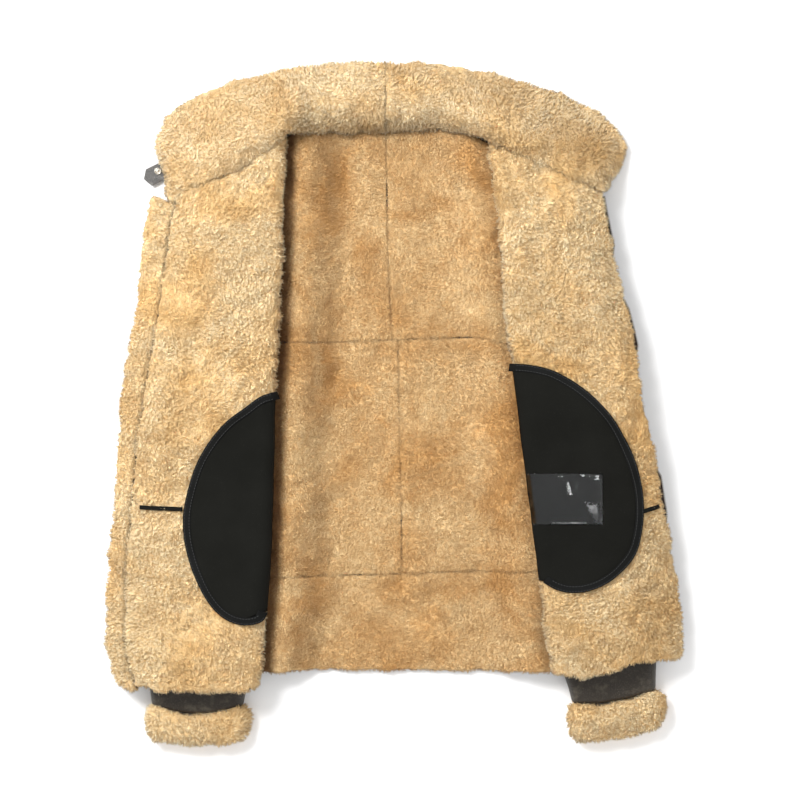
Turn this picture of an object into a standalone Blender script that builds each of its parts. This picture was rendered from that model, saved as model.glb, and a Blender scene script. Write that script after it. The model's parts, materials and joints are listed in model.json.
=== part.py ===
"""Shearling flight jacket, lying open on its back with the wool side up.

Units are metres in Blender and millimetres in the tables below. X runs to the wearer's left,
Y from hem to collar, Z up; the origin is on the floor under the middle of the garment.
The sleeves are folded straight down under the back, and each front is folded in a Z: a hidden
layer runs from the side seam over the back, rolls over at the fold line, and the layer that
shows runs back outwards to the front edge.
"""

import bpy
import numpy as np
from mathutils import Vector

MM = 0.001
# Skin and wool together, and the part of it that is left at a cut edge.
WALL = 11.5
RIM = 0.4
RIM_WIDTH = 4.5
# Air between two pieces, and inside a sleeve that lies flat.
GAP = 0.4
SLIT = 3.4
SLEEVE_HIGH = 2 * WALL + SLIT
# The fold of a front, at the middle of its wall.
FOLD_RADIUS = 7.2
FOLD_OUTER = FOLD_RADIUS + WALL / 2
SETTLE = 1.6
# The back rises from the floor onto the sleeves over this width.
RAMP_START = 75.0
RAMP_WIDTH = 55.0
NECK_RISE = 8.0
# The layer that shows sinks past the side seam, then past the sleeve.
DROOP = 23.0
DROOP_WIDTH = 75.0
EDGE_DROOP = 16.0
EDGE_DROOP_WIDTH = 50.0
SHOULDER_OVER_NECK = 12.0
FLAP_STEP = 1.0
# Cuffs.
CUFF_HIGH = 33.0
CUFF_WALL = (CUFF_HIGH - SLIT) / 2
END_BOW_HALF = 60.0
# Cloth, tapes and trims.
BAG_THICK = 2.0
BINDING_THICK = 3.2
BINDING_WIDTH = 9.5
BAG_CLEAR = 1.2
BAG_WRAP = (2.6, 5.0, 8.5)
TAPE_THICK = 1.6
TAPE_WIDTH = 8.0
VINYL_THICK = 0.6
VINYL_PUFF = 1.5
ZIP_TAPE_THICK = 1.4
ZIP_TAPE_WIDTH = 20.0
ZIP_TAPE_SHOWS = 1.8
ZIP_CLEAR = 0.9
SLIDER = (9.0, 16.0, 5.0)
TAB_THICK = 2.4
SNAP_RADIUS = 3.8
SNAP_HIGH = 1.5

# Neck seam: x, y.
NECK = (
    (-275, 243), (-252, 255), (-232, 265), (-204, 276), (-175, 291), (-152, 308),
    (-132, 324), (-101, 331), (-67, 333.5), (-8, 334.5), (43, 335.5), (82, 332),
    (112, 318), (134, 308), (160, 296), (183, 285), (204, 276), (228, 268), (250, 259),
)
# Seams of the back: the centre seam is y, x; the others are x, y.
CENTRE_SEAM = ((-323, 9.8), (-207, 8.5), (-119, 7.3), (-21, 4.9), (77, 3.5))
CENTRE_SEAM_UPPER = ((77, -4), (174, -8.5), (247, -9.8), (335, -11))
CROSS_SEAM = ((-275, 76), (-67, 74), (0, 77), (55, 78.5), (104, 78.5), (140, 70), (275, 70))
BAND_SEAM = ((-275, -211), (-116, -213), (-67, -212), (6, -210.5), (67, -208), (275, -206))
BACK_HEM = ((-275, -333), (-158, -331), (-116, -330.5), (-55, -330), (6, -330.5), (67, -331),
            (128, -331), (193, -330), (280, -322))

# Each front and sleeve, with u the distance outwards from the middle of the garment.
# fold, edge, side: y, u.  hem: u, y.  sleeve: y, inner u, outer u, tilt, bow.
# swells: u, y, half width, half length, height.
SIDES = {
    "right": dict(
        sign=-1,
        fold=((-350, 162), (-290, 159), (-217, 152.5), (-95, 147.5), (12, 145), (88, 139),
              (174, 136.5), (247, 134), (324, 132)),
        edge=((-350, 316), (-302, 327), (-253, 328), (-192, 327), (-143, 323), (-81, 318),
              (-42, 312), (28, 302), (92, 291), (155, 282), (213, 274), (247, 267)),
        hem=((162, -347), (177, -353.4), (201, -354.6), (238, -353.4), (287, -353.4),
             (316, -349.7)),
        side=((-345, 266), (-200, 270), (60, 270), (110, 255), (160, 228), (210, 216), (290, 214)),
        sleeve=((262, 196, 258, 0, 0), (256, 172, 272, 0, 0), (236, 146, 284, 0, 0),
                (200, 128, 292, 0, 0), (100, 125, 300, 0, 0), (0, 131, 306, 0, 0),
                (-100, 136, 310, 0, 0), (-200, 142, 310, 0, 0), (-290, 158, 307, 0, -2),
                (-335, 178, 302, 0, -8), (-363, 185, 298, 0, -12), (-368, 186, 297.5, 0, -12)),
        cuff=((-371, 186, 297), (-375, 178, 306.5), (-384, 173.5, 309.5), (-395, 174, 308),
              (-401, 180, 303), (-405, 187, 297)),
        cuff_tilt=0.0, cuff_bow=-12.0,
        swells=((205, 215, 45, 45, 3.5), (250, 60, 40, 60, 3.0), (200, -20, 36, 50, 2.0),
                (285, -60, 30, 50, 3.0), (230, -310, 60, 28, 3.5), (300, -230, 26, 60, 2.5)),
    ),
    "left": dict(
        sign=1,
        fold=((-334, 191.5), (-290, 183), (-223, 175.5), (-143, 166), (-46, 153.5), (33, 144),
              (88, 135.5), (149, 132), (222, 124.5), (318, 112)),
        edge=((-318, 333), (-309, 349), (-292, 352.5), (-262, 350), (-214, 344), (-168, 335.5),
              (-128, 327), (-90, 321), (-43, 311), (5, 300), (71, 293), (117, 282), (164, 271),
              (210, 261), (259, 250)),
        hem=((191, -334), (224, -337.5), (255, -332.5), (287, -323), (333, -318)),
        side=((-345, 275), (-200, 272), (60, 262), (110, 246), (160, 222), (210, 208), (280, 206)),
        sleeve=((246, 165, 215, 0, 0), (240, 146, 228, 0, 0), (224, 126, 240, 0, 0),
                (200, 113, 250, 0, 0), (100, 121, 280, 0, 0), (0, 134, 298, 0, 0),
                (-100, 148, 312, 0, 0), (-200, 162, 320, 0, 0), (-280, 184, 322, 0.05, -2),
                (-325, 207, 320, 0.12, -5), (-352, 216, 319, 0.17, -8), (-357, 217, 318.5, 0.17, -8)),
        cuff=((-360, 217, 319), (-364.5, 210, 329.5), (-375, 207, 334.5), (-388, 209, 334),
              (-396, 216, 329), (-400, 223, 323)),
        cuff_tilt=0.17, cuff_bow=-8.0,
        swells=((190, 225, 40, 45, 3.5), (240, 120, 36, 50, 3.0), (190, 60, 34, 40, 2.0),
                (255, -290, 60, 26, 3.5), (320, -240, 24, 45, 2.5)),
    ),
}
# Wind flap: y on the front's edge, then outer edge u, y.
FLAP = (
    (241, 297.7, 247), (232, 302, 233), (213, 306, 219), (155, 311.5, 176), (92, 315.5, 117),
    (28, 327, 52), (-42, 335, -28), (-81, 339.5, -83), (-143, 346, -150), (-192, 350, -192),
    (-253, 352.6, -252), (-302, 352.6, -302), (-330, 347.5, -327), (-342, 339, -342.5),
    (-349.5, 327, -349.8),
)
# Collar sections: neck x, y, then outer x, y, outer height, dome.
COLLAR = {
    "right": (
        (-274.5, 243.8, -283, 264, 9, 2), (-270.5, 246.6, -286.5, 275, 9.5, 4),
        (-264, 250, -289.5, 290, 9.5, 6), (-252, 256, -292.2, 322, 9, 8),
        (-232, 266, -279.5, 350.5, 8, 10), (-204, 277, -251.5, 372.5, 7, 13),
        (-175, 292, -211, 390.8, 6.5, 15), (-152, 309, -180, 400, 6.5, 17),
        (-132, 325, -155, 406.7, 6.5, 19), (-101, 332, -112, 413, 6.5, 22),
        (-67, 334.5, -70, 416.5, 6.5, 24), (-40, 335.2, -42, 417.5, 6.5, 25),
        (-16.5, 335.6, -16.5, 417.7, 6.5, 25), (-12, 335.6, -12, 417.7, 6.5, 25),
    ),
    "left": (
        (-11.5, 335.6, -11.5, 417.7, 6.5, 25), (-7, 335.6, -7, 417.7, 6.5, 25),
        (15, 336, 18, 417.6, 6.5, 25), (43, 336.5, 55, 416.4, 6.5, 24),
        (82, 333, 106, 406.5, 6.5, 22), (112, 319, 148, 395.5, 6.5, 19),
        (134, 309, 193, 382.3, 6.5, 17), (160, 297, 238, 361.5, 7, 14),
        (183, 286, 264.5, 343, 8, 12), (204, 277, 280.5, 322.5, 8.5, 9),
        (228, 269, 280.6, 300.5, 9, 6), (240, 264.5, 272, 284, 9, 4),
        (247, 261.5, 263, 273, 9, 3), (250, 260, 258, 267, 9, 2),
    ),
}
COLLAR_NECK_LOW = 19.0
COLLAR_CLEAR = 3.0
# Pocket bags: the curved edge from top to bottom as u, y, and where the straight edge ends.
BAGS = {
    "right": dict(
        straight=(1.8, -242.0),
        arc=((147, 13.5), (162, 8), (183, -7), (205, -23), (223, -43.5), (241.5, -74),
             (252.5, -107), (258, -137), (257.5, -162), (252.5, -187.5), (241.5, -218),
             (228, -243), (212, -260.5), (193, -270), (176, -271.5), (163, -266.5), (158, -256)),
    ),
    "left": dict(
        straight=(36.6, -200.0),
        arc=((143, 47.5), (163, 46), (190, 40), (217, 26), (245, 4), (267, -21), (284, -53),
             (295, -87), (300, -117.5), (299, -153), (290, -187), (273, -209.5), (253, -223.5),
             (228, -231.5), (208, -231.5), (192.5, -226.5), (181.5, -219)),
    ),
}
# Stay tapes: start u, y, end u, y.
STAY_TAPES = {"right": (260.5, -130.0, 308.7, -127.7), "left": (302.5, -137.5, 322.0, -129.5)}
# The window pocket runs from the fold out to u, and from the first y to the second.
WINDOW = dict(u=254.0, y=(-148.5, -84.0))
# The collar tab from its sewn end to its point: upper edge x, y, lower edge x, y, height.
TAB = ((-281, 293.5, -283, 276, 6.3), (-286, 293.5, -288, 273, 6.3),
       (-291, 293, -292.5, 270.5, 6.3), (-297, 290.5, -296.5, 267, 6.0),
       (-301, 288, -299.5, 266, 5.2), (-305.5, 283.5, -303.5, 268.5, 3.6),
       (-308.5, 276.5, -307.5, 272.5, 2.6))
SNAP = (-293.5, 281.0, 6.3)

# Colours as red, green, blue, then roughness and metallic.
LOOKS = {
    "wool": (0.78, 0.58, 0.34, 0.95, 0.0),
    "wool_back": (0.62, 0.42, 0.22, 0.95, 0.0),
    "leather": (0.045, 0.036, 0.026, 0.55, 0.0),
    "cloth": (0.012, 0.012, 0.011, 0.9, 0.0),
    "binding": (0.018, 0.019, 0.021, 0.8, 0.0),
    "vinyl": (0.6, 0.6, 0.6, 0.1, 0.0),
    "tab": (0.12, 0.115, 0.11, 0.6, 0.0),
    "metal": (0.55, 0.53, 0.48, 0.35, 1.0),
}


def hermite(table, at, column=1):
    """A smooth curve through a table, straight beyond its ends."""
    keys = np.array([row[0] for row in table], float)
    values = np.array([row[column] for row in table], float)
    slopes = np.gradient(values, keys)
    at = np.asarray(at, float)
    i = np.clip(np.searchsorted(keys, at) - 1, 0, len(keys) - 2)
    span = keys[i + 1] - keys[i]
    t = (at - keys[i]) / span
    inside = np.clip(t, 0, 1)
    h00 = 2 * inside**3 - 3 * inside**2 + 1
    h10 = inside**3 - 2 * inside**2 + inside
    h01 = -2 * inside**3 + 3 * inside**2
    h11 = inside**3 - inside**2
    curve = h00 * values[i] + h10 * span * slopes[i] + h01 * values[i + 1]
    curve = curve + h11 * span * slopes[i + 1]
    beyond = (t - inside) * span * np.where(t < 0, slopes[0], slopes[-1])
    return curve + beyond


def ease(t):
    t = np.clip(t, 0.0, 1.0)
    return t * t * (3 - 2 * t)


def lerp(a, b, t):
    return a + (b - a) * t


def stations(count, length, edge=RIM_WIDTH):
    """Steps from 0 to 1, with one close to each end where the rim is rounded."""
    near = edge / length
    return np.concatenate([[0.0], np.linspace(near, 1 - near, count - 2), [1.0]])


def back_height(x, y):
    """Middle of the back's wall: on the floor, and up on the sleeves at the sides."""
    z = WALL / 2 + 0 * x
    for side in SIDES.values():
        ramp = (side["sign"] * x - hermite(side["fold"], y) + RAMP_START) / RAMP_WIDTH
        z = z + (SLEEVE_HIGH + GAP) * ease(ramp)
    middle = 1 - ease((np.abs(x) - 40) / 45)
    return z + NECK_RISE * ease((y - 296) / 40) * middle


def hidden_height(side, u, y):
    return back_height(side["sign"] * u, y) + WALL + GAP


def shown_height(side, u, y):
    """Middle of the layer that shows."""
    fold = hermite(side["fold"], y)
    z = hidden_height(side, np.maximum(u, fold), y) + 2 * FOLD_RADIUS
    z = z - SETTLE * ease((u - fold - FOLD_OUTER) / 40)
    z = z - DROOP * ease((u - hermite(side["side"], y)) / DROOP_WIDTH)
    outer = hermite(side["sleeve"][::-1], np.minimum(y, 200), 2)
    z = z - EDGE_DROOP * ease((u - outer - 2) / EDGE_DROOP_WIDTH)
    for at_u, at_y, wide, long, high in side["swells"]:
        z = z + high * np.exp(-(((u - at_u) / wide) ** 2) - ((y - at_y) / long) ** 2)
    return z


def shown_point(side, u, y, above):
    """A point above the middle of the layer that shows, and round its fold."""
    centre = hermite(side["fold"], y) + FOLD_OUTER
    top = np.array([side["sign"] * u, y, 0.0])
    if u < centre:
        low = hidden_height(side, centre, y) + FOLD_RADIUS
        across = (centre - u) / FOLD_OUTER
        reach = FOLD_RADIUS + above
        top[0] = side["sign"] * (centre - reach * across)
        top[2] = low + reach * np.sqrt(max(0.0, 1 - across**2))
        return top
    step = 1.0
    du = (shown_height(side, u + step, y) - shown_height(side, u - step, y)) / (2 * step)
    dy = (shown_height(side, u, y + step) - shown_height(side, u, y - step)) / (2 * step)
    normal = np.array([-side["sign"] * du, -dy, 1.0])
    top[2] = shown_height(side, u, y)
    return top + normal / np.linalg.norm(normal) * above


def neck_line(x):
    return hermite(NECK, x) - GAP


def shoulder_line(x):
    """The hidden top edge of the back and of a front's hidden layer."""
    return neck_line(x) + SHOULDER_OVER_NECK * ease((np.abs(x) - 140) / 30)


def clean_scene():
    for old in list(bpy.data.objects):
        bpy.data.objects.remove(old, do_unlink=True)


def make_material(name):
    red, green, blue, roughness, metallic = LOOKS[name]
    material = bpy.data.materials.new(name)
    material.use_nodes = True
    shader = material.node_tree.nodes["Principled BSDF"]
    shader.inputs["Base Color"].default_value = (red, green, blue, 1.0)
    shader.inputs["Roughness"].default_value = roughness
    shader.inputs["Metallic"].default_value = metallic
    material.diffuse_color = (red, green, blue, 1.0)
    return material


def add_object(name, mesh, look):
    obj = bpy.data.objects.new(name, mesh)
    mesh.materials.append(MATERIALS[look])
    JACKET.objects.link(obj)
    return obj


def wall(name, grid, thick, look, ring=False, rim=RIM):
    """A loft through rows of points, thickened about its middle and thinner at its cut edges."""
    grid = np.asarray(grid, float)
    rows, columns = grid.shape[:2]
    faces = []
    for i in range(rows - 1):
        for j in range(columns if ring else columns - 1):
            k = (j + 1) % columns
            faces.append((i * columns + j, i * columns + k,
                          (i + 1) * columns + k, (i + 1) * columns + j))
    mesh = bpy.data.meshes.new(name)
    mesh.from_pydata((grid.reshape(-1, 3) * MM).tolist(), [], faces)
    mesh.shade_smooth()
    obj = add_object(name, mesh, look)
    inside = obj.vertex_groups.new(name="inside")
    for i in range(1, rows - 1):
        span = range(columns) if ring else range(1, columns - 1)
        inside.add([i * columns + j for j in span], 1.0, "REPLACE")
    solid = obj.modifiers.new("Thickness", "SOLIDIFY")
    solid.thickness = thick * MM
    solid.offset = 0.0
    if rim < 1.0:
        solid.vertex_group = "inside"
        solid.thickness_vertex_group = rim
    return obj


def back_panel(name, x_lines, y_lines, columns, rows, look):
    """A skin of the back between two lines across and two lines up."""
    grid = []
    for v in rows:
        row = []
        for pick, t in columns:
            x, y = 0.0, 0.0
            for _ in range(4):
                y = lerp(y_lines[0](x), y_lines[1](x), v)
                x = pick(y, t, x_lines)
            row.append((x, y, float(back_height(np.float64(x), y))))
        grid.append(row)
    wall(name, grid, WALL, look)


def across(y, t, lines):
    return lerp(lines[0](y), lines[1](y), t)


def from_fold(side):
    return lambda y, t, lines: side["sign"] * (hermite(side["fold"], y) + t)


def panel_columns(side, seam_first):
    """Columns of a back skin from the centre seam to the side, closer on the ramp."""
    ramp = [(from_fold(side), t) for t in (-76, -62, -48, -34, -20)]
    near = [(across, 0.0), (across, RIM_WIDTH / 265)]
    far = [(across, 0.62), (across, 0.8), (across, 1 - RIM_WIDTH / 265), (across, 1.0)]
    columns = near + ramp + far
    return columns if seam_first else columns[::-1]


def build_back():
    for name, side in SIDES.items():
        sign = side["sign"]
        edge = lambda y, side=side: side["sign"] * hermite(side["side"], y)
        upper = lambda y, sign=sign: hermite(CENTRE_SEAM_UPPER, y) + sign * GAP / 2
        lower = lambda y, sign=sign: hermite(CENTRE_SEAM, y) + sign * GAP / 2
        cross = lambda x: hermite(CROSS_SEAM, x)
        band = lambda x: hermite(BAND_SEAM, x)
        columns = panel_columns(side, True)
        back_panel("back_upper_" + name, (upper, edge),
                   (lambda x: cross(x) + GAP / 2, shoulder_line),
                   columns, stations(10, 250), "wool_back")
        back_panel("back_lower_" + name, (lower, edge),
                   (lambda x: band(x) + GAP / 2, lambda x: cross(x) - GAP / 2),
                   columns, stations(9, 285), "wool_back")
    right = panel_columns(SIDES["right"], False)
    left = panel_columns(SIDES["left"], True)
    right_lines = (lambda y: 9.0, lambda y: -hermite(SIDES["right"]["side"], y))
    left_lines = (lambda y: 9.0, lambda y: hermite(SIDES["left"]["side"], y))
    picks = [(lambda y, t, lines, p=p: p(y, t, right_lines), t) for p, t in right[:-1]]
    picks += [(lambda y, t, lines, p=p: p(y, t, left_lines), t) for p, t in left[2:]]
    back_panel("back_hem_band", (None, None),
               (lambda x: hermite(BACK_HEM, x), lambda x: hermite(BAND_SEAM, x) - GAP / 2),
               picks, stations(7, 115), "wool_back")


def front_columns():
    """Where the sections of a front are cut: hidden layer, fold, then the layer that shows."""
    hidden = [("hidden", t) for t in (1.0, 0.96, 0.66, 0.33)]
    roll = [("fold", t) for t in np.radians(np.linspace(-90, 90, 7))]
    shown = [("shown", t) for t in stations(12, 180)[2:]]
    return hidden + roll + [("shown", 0.05)] + shown


def build_front(name):
    side = SIDES[name]
    grid = []
    for v in stations(23, 600):
        row = []
        for layer, t in front_columns():
            u = 200.0
            y = lerp(-340.0, 290.0, v)
            for _ in range(5):
                centre = hermite(side["fold"], y) + FOLD_OUTER
                if layer == "hidden":
                    u = lerp(centre, hermite(side["side"], y), t)
                elif layer == "fold":
                    u = centre - FOLD_RADIUS * np.cos(t)
                else:
                    u = lerp(centre, hermite(side["edge"], y), t)
                top = shoulder_line if layer == "hidden" else neck_line
                low = hermite(side["hem"], u)
                y = lerp(low, top(side["sign"] * u), v)
            if layer == "hidden":
                z = hidden_height(side, u, y)
            elif layer == "fold":
                z = hidden_height(side, centre, y) + FOLD_RADIUS * (1 + np.sin(t))
            else:
                z = shown_height(side, u, y)
            row.append((side["sign"] * u, y, float(z)))
        grid.append(row)
    wall("front_" + name, grid, WALL, "wool")


def build_wind_flap():
    side = SIDES["right"]
    grid = []
    for inner_y, outer_u, outer_y in FLAP:
        inner_u = float(hermite(side["edge"], inner_y)) + 2 * GAP
        row = []
        for t in (0.0, 0.17, 0.5, 0.83, 1.0):
            u = lerp(inner_u, outer_u, t)
            y = lerp(inner_y, outer_y, t)
            row.append((side["sign"] * u, y, float(shown_height(side, u, y)) - FLAP_STEP))
        grid.append(row)
    wall("wind_flap", grid, WALL - 1.0, "wool")


def collar_neck_height(x, y):
    """The collar starts on the back's neck edge and climbs onto the fronts."""
    side = SIDES["right" if x < 0 else "left"]
    fold = hermite(side["fold"], y)
    u = side["sign"] * x
    on_back = max(COLLAR_NECK_LOW, float(back_height(np.float64(x), y)) + 4)
    on_front = float(shown_height(side, max(u, fold + FOLD_OUTER), y))
    return lerp(on_back, on_front, float(ease((u - fold + 34) / 34)))


def build_collar(name):
    grid = []
    for neck_x, neck_y, outer_x, outer_y, low, dome in COLLAR[name]:
        neck_y = float(hermite(NECK, neck_x)) + COLLAR_CLEAR
        start = collar_neck_height(neck_x, neck_y)
        wide = np.hypot(outer_x - neck_x, outer_y - neck_y)
        row = []
        for t in stations(9, wide, min(RIM_WIDTH, wide / 5)):
            z = lerp(start, low, float(ease(t**1.15))) + dome * np.sin(np.pi * t**0.85)
            row.append((lerp(neck_x, outer_x, t), lerp(neck_y, outer_y, t), z))
        grid.append(row)
    wall("collar_" + name, grid, WALL, "wool")


def flat_ring(half_wide, half_high):
    """A tube lying flat: two straight runs and two half circles, about its middle."""
    flat = half_wide - half_high
    ring = []
    for turn in (0, 1):
        for angle in np.radians(np.linspace(-90, 90, 5)):
            x = flat + half_high * np.cos(angle)
            z = half_high * np.sin(angle)
            ring.append((x, z) if turn == 0 else (-x, -z))
        steps = np.linspace(flat, -flat, 7)[1:-1]
        ring += [(x, half_high) if turn == 0 else (-x, -half_high) for x in steps]
    return ring


def build_tube(name, sign, rows, thick, look, rim=RIM):
    """Rows: y, inner u, outer u, tilt, bow, full height."""
    grid = []
    for y0, inner, outer, tilt, bow, high in rows:
        middle = (inner + outer) / 2
        half = (outer - inner) / 2 - thick / 2
        row = []
        for u, z in flat_ring(half, (high - thick) / 2):
            y = y0 + tilt * u + bow * (1 - (u / END_BOW_HALF) ** 2)
            row.append((sign * (middle + u), y, high / 2 + z))
        grid.append(row)
    wall(name, grid, thick, look, ring=True, rim=rim)


def build_sleeve(name):
    side = SIDES[name]
    rows = [row + (SLEEVE_HIGH,) for row in side["sleeve"]]
    build_tube("sleeve_" + name, side["sign"], rows, WALL, "leather")
    tilt, bow = side["cuff_tilt"], side["cuff_bow"]
    rows = []
    for i, (y, inner, outer) in enumerate(side["cuff"]):
        grow = ease(min(i, len(side["cuff"]) - 1 - i) / 2)
        rows.append((y, inner, outer, tilt, bow, lerp(SLEEVE_HIGH + 1.0, CUFF_HIGH, grow)))
    build_tube("cuff_" + name, side["sign"], rows, CUFF_WALL, "wool", rim=0.3)


def resample(points, count):
    """The same run along a smooth curve, evenly spaced and closer at its ends."""
    points = np.asarray(points, float)
    along = np.concatenate([[0], np.cumsum(np.hypot(*np.diff(points, axis=0).T))])
    end, near = along[-1], 16.0
    steps = np.concatenate([np.linspace(0, near, 5)[:-1], np.linspace(near, end - near, count),
                            np.linspace(end - near, end, 5)[1:]])
    table = [(s, p[0], p[1]) for s, p in zip(along, points)]
    return np.array([(hermite(table, s, 1), hermite(table, s, 2)) for s in steps])


def inset(points, by):
    """The run moved to its inner side."""
    ahead = np.gradient(points, axis=0)
    ahead /= np.linalg.norm(ahead, axis=1)[:, None]
    return points + by * np.stack([ahead[:, 1], -ahead[:, 0]], axis=1)


def build_pocket(name):
    side, bag = SIDES[name], BAGS[name]
    arc = resample(bag["arc"], 19)
    rim = inset(arc, BINDING_WIDTH)
    sewn = inset(arc, BINDING_WIDTH + GAP)
    above = WALL / 2 + BAG_CLEAR + BINDING_THICK / 2
    grid = [[shown_point(side, *lerp(a, b, t), above) for t in (0.0, 0.25, 0.75, 1.0)]
            for a, b in zip(arc, rim)]
    wall("pocket_binding_" + name, grid, BINDING_THICK, "binding", rim=0.6)
    above = WALL / 2 + BAG_CLEAR + BAG_THICK / 2
    grid = []
    sewn = [end for end in sewn if end[0] > hermite(side["fold"], end[1]) + FOLD_OUTER + 6]
    for i, end in enumerate(sewn):
        y = lerp(*bag["straight"], i / (len(sewn) - 1))
        fold = float(hermite(side["fold"], y))
        start = np.array([fold, y])
        wraps = [wrap / (end[0] - fold) for wrap in BAG_WRAP]
        top = FOLD_OUTER / (end[0] - fold)
        steps = wraps + [lerp(top, 1, t) for t in (0, 0.3, 0.55, 0.75, 0.88, 1)]
        grid.append([shown_point(side, *lerp(start, end, t), above) for t in steps])
    wall("pocket_bag_" + name, grid, BAG_THICK, "cloth", rim=1.0)


def build_window():
    side = SIDES["left"]
    above = WALL / 2 + BAG_CLEAR + BAG_THICK + 2 * GAP + VINYL_THICK / 2
    grid = []
    for v in np.linspace(0, 1, 7):
        y = lerp(*WINDOW["y"], v)
        fold = hermite(side["fold"], y)
        row = [shown_point(side, fold + wrap, y, above) for wrap in BAG_WRAP[1:]]
        for t in np.linspace(0, 1, 8):
            puff = VINYL_PUFF * np.sin(np.pi * t) * np.sin(np.pi * v)
            u = lerp(fold + FOLD_OUTER, WINDOW["u"], t)
            row.append(shown_point(side, u, y, above + puff))
        grid.append(row)
    wall("id_window", grid, VINYL_THICK, "vinyl", rim=1.0)


def build_stay_tape(name):
    side = SIDES[name]
    u0, y0, u1, y1 = STAY_TAPES[name]
    run = np.array([u1 - u0, y1 - y0])
    aside = np.array([-run[1], run[0]]) / np.linalg.norm(run) * TAPE_WIDTH / 2
    above = WALL / 2 + BAG_CLEAR + TAPE_THICK / 2
    grid = []
    for t in np.linspace(0, 1, 6):
        at = np.array([u0, y0]) + run * t
        grid.append([shown_point(side, *(at + aside * k), above) for k in (-1, 0, 1)])
    wall("stay_tape_" + name, grid, TAPE_THICK, "cloth", rim=1.0)


def build_zip_tape(name, inner, outer, low, high, step=0.0):
    """A tape under the front edge, from inner to outer millimetres past it."""
    side = SIDES[name]
    below = -(WALL / 2 + ZIP_CLEAR + ZIP_TAPE_THICK / 2) - step
    grid = []
    for y in np.linspace(low, high, 18):
        edge = hermite(side["edge"], y)
        row = []
        for t in (0.0, 0.35, 0.7, 1.0):
            u = edge + lerp(inner, outer, t)
            row.append(shown_point(side, u, y, below))
        grid.append(row)
    wall("zip_tape_" + name, grid, ZIP_TAPE_THICK, "cloth", rim=1.0)


def build_slider():
    side = SIDES["left"]
    y = -286.0
    u = float(hermite(side["edge"], y)) - 6.0
    tape = -(WALL / 2 + ZIP_CLEAR + ZIP_TAPE_THICK)
    on_tape = shown_point(side, u, y, tape)
    down = shown_point(side, u, y, tape - 1.0) - on_tape
    centre = on_tape + down * (GAP + SLIDER[2] / 2)
    bpy.ops.mesh.primitive_cube_add(size=1.0)
    obj = bpy.context.object
    obj.name = "zip_slider"
    obj.data.name = "zip_slider"
    obj.data.transform(np.diag([SLIDER[0] * MM, SLIDER[1] * MM, SLIDER[2] * MM, 1.0]).tolist())
    obj.rotation_mode = "QUATERNION"
    obj.rotation_quaternion = Vector(-down).to_track_quat("Z", "Y")
    obj.location = tuple(centre * MM)
    for owner in list(obj.users_collection):
        owner.objects.unlink(obj)
    JACKET.objects.link(obj)
    obj.data.materials.append(MATERIALS["metal"])
    bevel = obj.modifiers.new("Rounded edges", "BEVEL")
    bevel.width = 1.2 * MM
    bevel.segments = 2


def build_tab():
    grid = []
    for ax, ay, bx, by, z in TAB:
        grid.append([(lerp(ax, bx, t), lerp(ay, by, t), z) for t in (0, 0.33, 0.67, 1)])
    wall("collar_tab", grid, TAB_THICK, "tab", rim=1.0)
    bpy.ops.mesh.primitive_cylinder_add(vertices=24, radius=SNAP_RADIUS * MM,
                                        depth=SNAP_HIGH * MM)
    obj = bpy.context.object
    obj.name = "collar_snap"
    obj.data.name = "collar_snap"
    z = SNAP[2] + TAB_THICK / 2 + GAP + SNAP_HIGH / 2
    obj.location = (SNAP[0] * MM, SNAP[1] * MM, z * MM)
    for owner in list(obj.users_collection):
        owner.objects.unlink(obj)
    JACKET.objects.link(obj)
    obj.data.materials.append(MATERIALS["metal"])
    bevel = obj.modifiers.new("Rounded rim", "BEVEL")
    bevel.width = 0.4 * MM
    bevel.segments = 2


clean_scene()
JACKET = bpy.data.collections.new("shearling_jacket")
bpy.context.scene.collection.children.link(JACKET)
MATERIALS = {name: make_material(name) for name in LOOKS}

build_back()
for wearer_side in SIDES:
    build_front(wearer_side)
    build_collar(wearer_side)
    build_sleeve(wearer_side)
    build_pocket(wearer_side)
    build_stay_tape(wearer_side)
build_wind_flap()
build_window()
build_zip_tape("left", -ZIP_TAPE_WIDTH + ZIP_TAPE_SHOWS, ZIP_TAPE_SHOWS, -300.0, 250.0)
build_zip_tape("right", 4.0, ZIP_TAPE_WIDTH, -330.0, 238.0, FLAP_STEP)
build_slider()
build_tab()
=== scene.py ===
# %% [markdown]
# # A shearling jacket, laid open with the wool side up
#
# The jacket lies on its back on a white table, and both fronts are folded open in a Z. This
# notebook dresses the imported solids: thick walls of sheepskin with tufted wool, dark leather on
# the outer side, black cloth pocket bags, a clear vinyl pocket, tapes, a zip and a collar tab.
# The first cell loads the solids, which fix every size and place.

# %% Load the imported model
import json
import bmesh
import bpy
import numpy as np
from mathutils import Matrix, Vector, noise

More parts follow.
